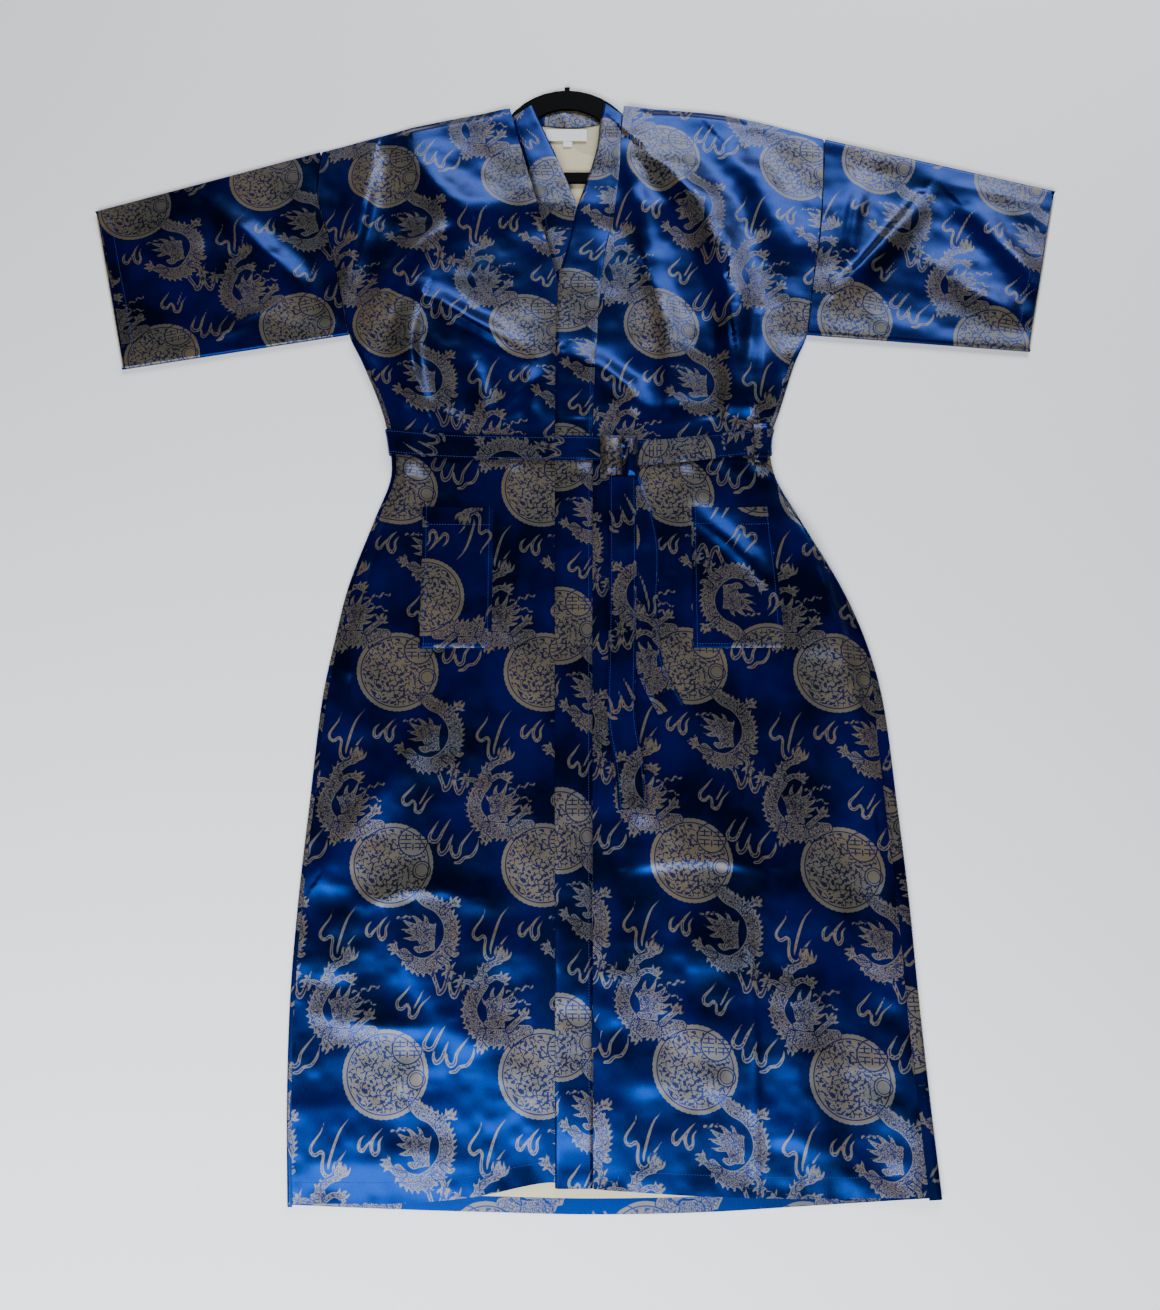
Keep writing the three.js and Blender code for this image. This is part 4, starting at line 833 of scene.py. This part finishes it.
def seam_row(name, lines, thread, length=STITCH["length"], width=STITCH["width"], pitch=STITCH["pitch"],
             turn=0.0):
    """Rows of stitches along lines of points in mm, turned about the surface's upright by an angle."""
    verts = (np.concatenate(lines) - (0, MIDDLE_Y, 0)) * 0.001
    edges, start = [], 0
    for line in lines:
        edges += [(start + k, start + k + 1) for k in range(len(line) - 1)]
        start += len(line)
    mesh = bpy.data.meshes.new(name)
    mesh.from_pydata(verts.tolist(), edges, [])
    piece = bpy.data.objects.new(name, mesh)
    bpy.context.scene.collection.objects.link(piece)
    tree = bpy.data.node_groups.new(name, "GeometryNodeTree")
    tree.interface.new_socket("Geometry", in_out="INPUT", socket_type="NodeSocketGeometry")
    sizes = {label: tree.interface.new_socket(label, in_out="INPUT", socket_type="NodeSocketFloat").identifier
             for label in ("Stitch length", "Thread width", "Pitch", "Turn")}
    tree.interface.new_socket("Geometry", in_out="OUTPUT", socket_type="NodeSocketGeometry")
    given = add(tree, "NodeGroupInput").outputs
    path = add(tree, "GeometryNodeMeshToCurve", Mesh=given["Geometry"]).outputs[0]
    path = add(tree, "GeometryNodeResampleCurve", {"mode": "LENGTH"}, Curve=path,
               Length=given["Pitch"]).outputs[0]
    dash = add(tree, "GeometryNodeMeshUVSphere", Segments=6, Rings=4, Radius=0.5).outputs[0]
    along = add(tree, "FunctionNodeAlignRotationToVector", {"axis": "X"},
                Vector=add(tree, "GeometryNodeInputTangent").outputs[0]).outputs[0]
    spin = add(tree, "ShaderNodeCombineXYZ", Z=given["Turn"]).outputs[0]
    along = add(tree, "FunctionNodeRotateRotation", {"rotation_space": "LOCAL"}, i0=along, i1=spin).outputs[0]
    size = add(tree, "ShaderNodeCombineXYZ", X=given["Stitch length"], Y=given["Thread width"],
               Z=given["Thread width"]).outputs[0]
    dashes = add(tree, "GeometryNodeInstanceOnPoints", Points=path, Instance=dash, Rotation=along, Scale=size)
    solid = add(tree, "GeometryNodeRealizeInstances", Geometry=dashes.outputs[0]).outputs[0]
    finished = add(tree, "GeometryNodeSetMaterial", Geometry=solid, Material=thread).outputs[0]
    tree.links.new(finished, add(tree, "NodeGroupOutput").inputs[0])
    sewing = piece.modifiers.new("stitches", "NODES")
    sewing.node_group = tree
    for label, value in (("Stitch length", length), ("Thread width", width), ("Pitch", pitch)):
        sewing[sizes[label]] = value * 0.001
    sewing[sizes["Turn"]] = turn
    bpy.context.view_layer.update()
    plain = bpy.data.meshes.new_from_object(piece.evaluated_get(bpy.context.evaluated_depsgraph_get()))
    piece.modifiers.clear()
    piece.data = plain
    plain.name = name
    plain.polygons.foreach_set("use_smooth", np.ones(len(plain.polygons), bool))
    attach(piece, "root")
    return piece


def raised(points, by=0.15):
    """Points lifted off the cloth, for thread that lies on it."""
    return points + np.array([0, 0, by])


HEM_ROW = 9


def front_places(side, x, y):
    rows = FRONT_WEAVE[side]
    lean = 0.06 * (x - 133) if side == "left" else 0
    return np.stack([x - follow(rows, "y", "x", y), follow(rows, "y", "along", y + lean)], -1)


for side, flat, area in (("right", (0.33, 1.35), 0.36), ("left", (0.37, 1.35), 0.42)):
    face = front_face(side)
    places = front_places(side, face[..., 0], face[..., 1])
    piece = cloth(f"front_{side}_cloth", face, lowered(face, 0.9), places, [satin, reverse_side])
    declare(piece, f"front_{side}")
    seam_row(f"hem_stitches_{side}", [raised(face[HEM_ROW, 2:-2])], blue_thread)

# ---------------------------------------------------------------- sleeves
# Each sleeve is one piece of satin closed along the underarm and set on at the dropped shoulder.
# It lies as a flat tube, open at the cuff, with the under layer of the cuff a little longer.

SLEEVE_RADIUS = 3.1
SLEEVES = {"right": ((-622.5, 511), (-570, 293), 12), "left": ((622.5, 540), (572, 317), 4)}
# How the weave lies on each sleeve: its turn, the middle of a roundel in turned sizes, and its stretch.
SLEEVE_WEAVE = {"right": (radians(14.0), (-256.5, 427.0), 1.08),
                "left": (radians(-10.6), (280.5, 419.3), 1.0)}


def armhole(side, share):
    """The armhole at a share of the way from the shoulder down to the armpit."""
    outward = -1 if side == "right" else 1
    level = TOP_LEVEL + (ARMPIT_LEVEL - TOP_LEVEL) * share
    x = follow(BODY, "level", side, level)
    return np.stack([x + outward * GAP, row_y(level, x)], -1)


def sleeve_height(x, y, edge):
    edge_rise = (2 * SLEEVE_RADIUS - WALL - LOW) * np.exp(-(edge / 22) ** 2)
    return LOW + edge_rise + fold_height(x, y) * smooth(edge, 0, 26)


def sleeve_grid(side, offset):
    """Rings of a sleeve from armhole to cuff, at an offset in from its outer face."""
    (top_x, top_y), (low_x, low_y), short = SLEEVES[side]
    cuff = np.array([low_x - top_x, low_y - top_y])
    cuff_width = np.hypot(*cuff)
    down = cuff / cuff_width
    hole_width = np.hypot(*(armhole(side, np.array(0.0)) - armhole(side, np.array(1.0))))
    along = steps(0, 1, PITCH / 300, 4)[:, None]
    width = hole_width + (cuff_width - hole_width) * along
    r = SLEEVE_RADIUS - offset

    def place(distance, beyond, stop):
        start = armhole(side, distance / width)
        end = np.array([top_x, top_y]) + cuff * (distance / width)[..., None]
        length = np.hypot(*np.moveaxis(end - start, -1, 0))
        ends = np.where(along > 0.985, stop, 0) / length
        sunk = down * np.broadcast_to(beyond, distance.shape)[..., None]
        return start + (end - start) * (along - ends)[..., None] + sunk

    across = lambda count: SLEEVE_RADIUS + (width - 2 * SLEEVE_RADIUS) * np.linspace(0, 1, count)[None, :]
    under = place(across(54), 0.0, 0.0)
    over = place(across(108), 0.0, short)
    reach = across(108)
    edge = np.minimum(reach, width - reach) - SLEEVE_RADIUS
    over_z = sleeve_height(over[..., 0], over[..., 1], edge) + WALL - 2.8 * offset
    turn = np.linspace(0, pi, 6)[None, 1:-1]
    underarm = place(np.broadcast_to(width - SLEEVE_RADIUS, (len(along), 4)), r * np.sin(turn), 0.0)
    topside = place(np.full((len(along), 4), SLEEVE_RADIUS), -r * np.sin(turn), 0.0)
    lift = lambda points, z: np.concatenate([points, np.broadcast_to(z, points.shape[:2])[..., None]], -1)
    return np.concatenate([lift(under, SLEEVE_RADIUS - r), lift(underarm, SLEEVE_RADIUS - r * np.cos(turn)),
                           lift(over, over_z)[:, ::-1], lift(topside, SLEEVE_RADIUS + r * np.cos(turn))], 1)


for side in ("right", "left"):
    face = sleeve_grid(side, 0.0)
    face = face[:, :face.shape[1] // 2 * 2]
    inner = sleeve_grid(side, CLOTH)
    x, y = face[..., 0], face[..., 1]
    turn, (middle_u, middle_v), stretch = SLEEVE_WEAVE[side]
    u, v = x * cos(turn) + y * sin(turn) - middle_u, y * cos(turn) - x * sin(turn) - middle_v
    under_side = np.arange(face.shape[1]) < 56
    places = np.stack([u, np.where(under_side, -v - 170, v) * stretch], -1)
    piece = cloth(f"sleeve_{side}_cloth", face, inner[:, :face.shape[1]], places, [satin, reverse_side],
                  coarse=2,
                  ring=True, turned=(2, 3))
    declare(piece, f"sleeve_{side}")
    over, under_layer = slice(60, 164), slice(2, 54)
    seam_row(f"cuff_stitches_{side}", [raised(face[-9, over])], blue_thread)
    edge = inner[-1, under_layer] + (0, 0, 0.5)
    seam_row(f"cuff_overlock_{side}", [edge], cream_thread, length=3.4, width=0.8, pitch=1.7, turn=pi / 2)

# ---------------------------------------------------------------- front bands
# A doubled strip of satin sewn to each front edge, from the hem up to the shoulder.
# It is cut across the pattern of the front, so the roundels do not line up at the seam.

BAND_HEM = {"right": -651, "left": -659}
EDGE_ROLL = 1.8
BAND_WEAVE = table("y along", (-727, -227), (-502, 0), (-277, 227), (-34, 454), (176, 681), (386, 908),
                   (597, 1135),
                   (810, 1362))


def band_face(side):
    """Points of a front band, from its hem to the shoulder."""
    rows = RIGHT_BAND if side == "right" else LEFT_BAND
    level = steps(HEM_LEVEL, TOP_LEVEL, PITCH, 4)
    y = np.maximum(level + 60 * smooth(level, TILT_LEVEL, TOP_LEVEL), BAND_HEM[side])
    y = y[np.argmax(y > BAND_HEM[side]):]
    y = np.concatenate([[BAND_HEM[side]], y])
    y = y[:(len(y) - 1) // 4 * 4 + 1]
    slant = 9 * smooth(y, 560, 660)[:, None]
    share = np.linspace(0, 1, 21)[None, :]
    py = y[:, None] + slant * (2 * share - 1)
    seam, edge = follow(rows, "y", "seam", py), follow(rows, "y", "edge", py)
    x = seam + (edge - seam) * share
    z = front_height(side, x, py)
    crown = EDGE_ROLL * np.sqrt(np.clip(1 - (2 * share - 1) ** 6, 0, 1))
    return np.stack([x, py, z + WALL + crown - 0.4], -1)


for side in ("right", "left"):
    face = band_face(side)
    across = 48 * np.linspace(1, 0, face.shape[1]) - 7 + 0 * face[..., 0]
    places = np.stack([across,
                       follow(BAND_WEAVE, "y", "along", face[..., 1]) + (60 if side == "right" else 0)], -1)
    piece = cloth(f"band_{side}_cloth", face, lowered(face, 0.5), places, [satin, satin])
    declare(piece, f"band_{side}")
    seam_row(f"band_stitches_{side}", [raised(face[:, 2])], blue_thread)

# ---------------------------------------------------------------- band behind the neck
# The same band goes on round the back of the neck, where its crumpled inner face shows.

level = np.linspace(0, 4, 49)
rows = {**NECK_BAND, "at": np.arange(5.0)}
share = np.linspace(0, 1, 17)[None, :]
seam = np.stack([follow(rows, "at", "seam_x", level), follow(rows, "at", "seam_y", level)], -1)[:, None]
edge = np.stack([follow(rows, "at", "edge_x", level), follow(rows, "at", "edge_y", level)], -1)[:, None]
flat_points = seam + (edge - seam) * share[..., None]
crumple = 1.1 * ripple(flat_points[..., 0] * 2.4, flat_points[..., 1] * 0.5, 13, 21) * np.sin(pi * share)
z = 1.9 + 0.8 * np.sin(pi * share) + crumple
face = np.concatenate([flat_points, z[..., None]], -1)
neck = cloth("band_neck_cloth", face, face * (1, 1, 0) + (0, 0, 0.1), flat_points - (6, 640), [satin, satin])
declare(neck, "band_neck")

# ---------------------------------------------------------------- patch pockets
# A doubled patch of satin on each front below the belt, sewn round three sides and open along its top hem.

POCKETS = {"right": (5, 10, -62, 112), "left": (7, 13, -62, 112)}
COLUMN = 17.2
# The pockets are cut upside down in the weave. This is the middle of one roundel on each.
POCKET_WEAVE = {"right": (-182, 0), "left": (229, -80)}


def pocket_face(side):
    """Points of a patch pocket, rounded at its rim."""
    first, last, low, high = POCKETS[side]
    outward, band = (-1, RIGHT_BAND) if side == "right" else (1, LEFT_BAND)
    even = 10 if side == "right" else 12
    level = steps(low, high, PITCH, 4)[:, None]
    inner = seam_x(band, level) + outward * GAP
    radius = side_radius(level)
    inset = seam_inset(level) if side == "right" else left_wrap(level)
    outer = follow(BODY, "level", side, level) - outward * (radius + inset + GAP)
    column = steps(first, last, PITCH / COLUMN, 4)[None, :]
    x = inner + outward * COLUMN * np.minimum(column, even)
    x = x + (outer - (inner + outward * COLUMN * even)) * np.maximum(column - even, 0) / 5
    y = row_y(level, x)
    z = front_height(side, x, y, np.abs(x - outer), 2 * radius)
    u = (column - first) / (last - first)
    v = (level - low) / (high - low)
    rim = np.minimum(np.minimum(u, 1 - u) * (last - first) * COLUMN, v * (high - low))
    return np.stack([x, y, z + WALL + 0.4 + 1.3 * np.sqrt(smooth(rim, 0, 4.5)) + 0 * y], -1)


for side, flat in (("right", (0.10, 0.19)), ("left", (0.12, 0.19))):
    face = pocket_face(side)
    places = np.array(POCKET_WEAVE[side]) - face[..., :2]
    piece = cloth(f"pocket_{side}_cloth", face, lowered(face, 1.0), places, [satin, satin])
    declare(piece, f"pocket_{side}")
    sides = [face[:, 2], face[2, 2:-2], face[:, -3], face[-10, 2:-2]]
    seam_row(f"pocket_stitches_{side}", [raised(line) for line in sides], blue_thread)

# ---------------------------------------------------------------- belt
# A doubled strip of satin round the waist and under the back, through the loop, tied in front.

BELT = table("x y", (-236, 195), (-150, 190), (-60, 188), (30, 186), (76, 182), (120, 184), (170, 190),
             (240, 195))
KNOT = dict(x=53.0, y=176.0, width=46.0, length=54.0)
SIDE_CLEAR = 1.7
CLEAR = 0.9


def front_top(x, y):
    """Top of the fronts at places away from their side edges."""
    radius = side_radius(y)
    is_left = x > follow(LEFT_BAND, "y", "edge", y)
    right_away = np.maximum(np.abs(follow(BODY, "level", "right", y) - x) - radius - SEAM_INSET, 0)
    left_away = np.maximum(np.abs(follow(BODY, "level", "left", y) - x) - radius - left_wrap(y), 0)
    right_top = front_height("right", x, y, right_away, 2 * radius)
    left_top = front_height("left", x, y, left_away, 2 * radius)
    return np.where(is_left, left_top, right_top) + WALL * 1.05


def resting_top(x, y, room=CLEAR):
    """Highest cloth near a place, so that what lies on it spans its small hollows."""
    spots = [front_top(x + dx, y + dy) for dx, dy in ((0, 0), (6, 0), (-6, 0), (0, 6), (0, -6))]
    return np.max(spots, 0) + room


def belt_grid(outside):
    """Rings of the belt round the waist."""
    share = steps(-0.5, 0.5, PITCH / BELT_WIDTH, 4)
    half_knot = KNOT["width"] / 2 + GAP
    inset = SIDE_RADIUS + 15
    right_turn = follow(BODY, "level", "right", BELT_Y) + inset
    left_turn = follow(BODY, "level", "left", BELT_Y) - inset
    turn = np.linspace(0, pi, 13)
    columns = []
    for offset in share * BELT_WIDTH:
        y = BELT_Y + offset
        inner = (2 * SIDE_RADIUS + back_lift(y) + SIDE_CLEAR - WALL) / 2
        radius = inner + outside

        def on_front(x):
            at = follow(BELT, "x", "y", x) + offset
            return np.stack([x, at, resting_top(x, at) + outside], -1)

        def on_side(x, way, angle):
            return np.stack([x + way * radius * np.sin(angle), y + 0 * angle,
                             WALL + inner + radius * np.cos(angle)], -1)

        right = follow(BODY, "level", "right", y) + SIDE_RADIUS
        left = follow(BODY, "level", "left", y) - SIDE_RADIUS
        under_x = right + 4 + (left - right - 8) * np.linspace(0, 1, 73)
        columns.append(np.concatenate([
            on_front(steps(KNOT["x"] - half_knot, right_turn, PITCH, 4)), on_side(right, -1, turn),
            np.stack([under_x, y + 0 * under_x, WALL - outside + 0 * under_x], -1),
            on_side(left, 1, pi - turn),
            on_front(steps(left_turn, KNOT["x"] + half_knot, PITCH, 4))]))
    return np.stack(columns, 1)


face = belt_grid(WALL)
inner = belt_grid(WALL - 1.0)
keep = (face.shape[0] - 1) // 4 * 4 + 1
face, inner = face[-keep:], inner[-keep:]
lengths = np.concatenate([[0], np.cumsum(np.hypot(*np.diff(face[:, 6, ::2], axis=0).T))])
share = np.linspace(-0.5, 0.5, face.shape[1])
across, along = np.meshgrid(share * BELT_WIDTH, lengths, indexing="xy")
places = np.stack([across + np.where(along < 500, 66, 14), along + 36], -1)
belt = cloth("belt_waist_cloth", face, inner, places, [satin, satin])
declare(belt, "belt_waist")
seam_row("belt_stitches", [raised(face[:124, k]) for k in (1, -2)] + [raised(face[-76:, k]) for k in (1, -2)],
         blue_thread)

# ---------------------------------------------------------------- knot
# The belt's two ends cross and pass round each other: a tight wrap over soft bunched cloth.

KNOT_WRAPS = [
    # from, to, half-width there, height: a flat wrap over the top, and the tight turns beside and under it
    ((40, 212), (47, 140), 17, 10, 13.5), ((66, 206), (70, 150), 9, 8, 10.0),
    ((30, 190), (77, 176), 12, 9, 7.5),
]
# A roundel lies on the left wrap. Beyond the turn the cloth comes from another place in the repeat.
KNOT_WEAVE = dict(middle=(42, 178), turn_x=57, shift=(78, 24))
x = np.linspace(-0.5, 0.5, 45)[None, :] * KNOT["width"] + KNOT["x"]
y = np.linspace(-0.5, 0.5, 53)[:, None] * KNOT["length"] + KNOT["y"]
x, y = x + 0 * y, y + 0 * x
knot_floor = float(resting_top(np.array([KNOT["x"]]), np.array([KNOT["y"]]))[0]) + GAP
rise = np.zeros(x.shape)
for start, end, half_start, half_end, height in KNOT_WRAPS:
    run = np.array(end, float) - start
    t = np.clip(((x - start[0]) * run[0] + (y - start[1]) * run[1]) / (run @ run), 0, 1)
    away = ((x - start[0]) * run[1] - (y - start[1]) * run[0]) / np.hypot(*run)
    off = away / (half_start + (half_end - half_start) * t)
    pleats = 0.35 * np.cos(8 * off + 3 * t) * (1 - np.clip(np.abs(off), 0, 1))
    wrap = (height + pleats) * np.clip(1 - np.abs(off) ** 3.5, 0, 1) ** 0.5 * (0.55 + 0.45 * np.sin(pi * t))
    rise = np.maximum(rise, wrap)
rim = np.clip(np.minimum(np.minimum(x - x.min(), x.max() - x), np.minimum(y - y.min(), y.max() - y)) / 7, 0,
              1)
rise = rise * np.sqrt(rim) + 1.2
face = np.stack([x, y, knot_floor + rise], -1)
under = np.stack([x, y, knot_floor + 0 * x], -1)
past_turn = face[..., :1] > KNOT_WEAVE["turn_x"]
places = face[..., :2] - KNOT_WEAVE["middle"] + past_turn * np.array(KNOT_WEAVE["shift"])
knot = cloth("belt_knot_cloth", face, under, places, [satin, satin])
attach(knot, "root")
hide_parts("belt_knot")

# ---------------------------------------------------------------- free ends of the belt
# The two ends hang from the knot over the left front, one lying partly on the other.

END_OVER = table("x y", (57, 148), (57, 96), (57, 40), (55, -64), (54, -148), (62, -200), (66, -252))
END_UNDER = table("x y", (62, 148), (76, 104), (84, 60), (82, -20), (88, -84), (112, -136))
END_WIDTH = 33.0


def end_face(rows, room):
    """Points of a free end of the belt along its run."""
    points = np.stack([rows["x"], rows["y"]], -1)
    at = np.concatenate([[0], np.cumsum(np.hypot(*np.diff(points, axis=0).T))])
    curve = {"at": at, **rows}
    place = steps(0, at[-1], PITCH, 4)
    x, y = follow(curve, "at", "x", place), follow(curve, "at", "y", place)
    tx, ty = np.gradient(x), np.gradient(y)
    size = np.hypot(tx, ty)
    share = steps(-0.5, 0.5, PITCH / END_WIDTH, 4)[None, :]
    px = x[:, None] + (ty / size)[:, None] * END_WIDTH * share
    py = y[:, None] - (tx / size)[:, None] * END_WIDTH * share
    crown = 1.4 * np.sqrt(np.clip(1 - (2 * share) ** 6, 0, 1)) + 0.5 * ripple(px * 1.6, py * 0.35, 12, 17)
    return np.stack([px, py, resting_top(px, py, room) + WALL + crown - 0.7], -1), place, share[0] * END_WIDTH


for name, rows, room, length, phase in (("under", END_UNDER, CLEAR, 0.31, -52),
                                        ("over", END_OVER, CLEAR + WALL + 1, 0.41, 66)):
    face, along, across = end_face(rows, room)
    places = np.stack(np.meshgrid(across + phase, 70 - along, indexing="xy"), -1)
    piece = cloth(f"belt_end_{name}_cloth", face, lowered(face, 1.0), places, [satin, satin])
    declare(piece, f"belt_end_{name}")
    seam_row(f"belt_end_stitches_{name}", [raised(face[:, 1]), raised(face[:, -2])], blue_thread)

# ---------------------------------------------------------------- belt loop
# A narrow folded strip of satin at the left side seam that the belt runs through.

LOOP = dict(x=227.0, width=16.0, low=168.0, high=222.0)
y = steps(LOOP["low"], LOOP["high"], PITCH, 4)[:, None]
x = LOOP["x"] + LOOP["width"] * np.linspace(-0.5, 0.5, 9)[None, :] + 0 * y
y = y + 0 * x
over_belt = (WALL + 1.2) * strip(y, BELT_Y, BELT_WIDTH / 2 + 1, BELT_WIDTH / 2 + 7)
face = np.stack([x, y, resting_top(x, y) + over_belt + WALL], -1)
loop = cloth("belt_loop_cloth", face, lowered(face, 1.0), face[..., :2] - (150, 60), [satin, satin])
declare(loop, "belt_loop")

# ---------------------------------------------------------------- neck label and size tab
# A blank white woven label, sewn inside the neck by its ends, with a small loop tab under it.

woven, tree, shader = material("white_woven_ribbon")
grid = add(tree, "ShaderNodeTexCoord").outputs["Object"]
weft = add(tree, "ShaderNodeTexWave", {"bands_direction": "Y"}, Vector=grid, Scale=420.0,
           Distortion=0.6).outputs["Fac"]
warp = add(tree, "ShaderNodeTexWave", {"bands_direction": "X"}, Vector=grid, Scale=420.0,
           Distortion=0.6).outputs["Fac"]
ribs = add(tree, "ShaderNodeMath", TIMES, i0=weft, i1=warp).outputs[0]
tone = add(tree, "ShaderNodeMix", COLOUR_MIX, i0=ribs, i6=linear("#DCDCD8"), i7=linear("#F6F6F2")).outputs[2]
tree.links.new(tone, shader.inputs["Base Color"])
shader.inputs["Roughness"].default_value = 0.7
bump = add(tree, "ShaderNodeBump", Strength=0.4, Distance=0.0001, Height=ribs)
tree.links.new(bump.outputs["Normal"], shader.inputs["Normal"])


def patch(name, low_x, high_x, low_y, high_y, rise, node):
    """A small woven patch, bowed a little across its middle."""
    x = steps(low_x, high_x, 1.2, 4)[None, :]
    y = steps(low_y, high_y, 1.2, 4)[:, None]
    bow = 0.5 * np.sin(pi * (x - low_x) / (high_x - low_x)) + 0 * y
    face = np.stack([x + 0 * y, y + 0 * x, LOW + rise + bow], -1)
    piece = cloth(name, face, lowered(face, 0.4), face[..., :2], [woven, woven])
    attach(piece, "root")
    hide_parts(node)


patch("neck_label_ribbon", -40, 14, 614, 631, 1.0, "neck_label")
patch("size_tab_ribbon", -17, -5, 606, 616.6, 0.4, "size_tab")

# ---------------------------------------------------------------- hanger
# A slim moulded hanger left inside the robe. Its arch shows at the neck and its bar across the opening.

black_plastic, tree, shader = material("moulded_black_polypropylene")
shader.inputs["Base Color"].default_value = linear("#020203")
grain = add(tree, "ShaderNodeTexNoise", Vector=add(tree, "ShaderNodeTexCoord").outputs["Object"],
            Scale=1400.0)
rough = add(tree, "ShaderNodeMapRange", Value=grain.outputs["Fac"], To_Min=0.5, To_Max=0.65)
tree.links.new(rough.outputs[0], shader.inputs["Roughness"])
shader.inputs["Specular IOR Level"].default_value = 0.04
bump = add(tree, "ShaderNodeBump", Strength=0.3, Distance=0.00005, Height=grain.outputs["Fac"])
tree.links.new(bump.outputs["Normal"], shader.inputs["Normal"])
hanger = bpy.data.objects["hanger"]
for slot in hanger.material_slots:
    slot.material = black_plastic
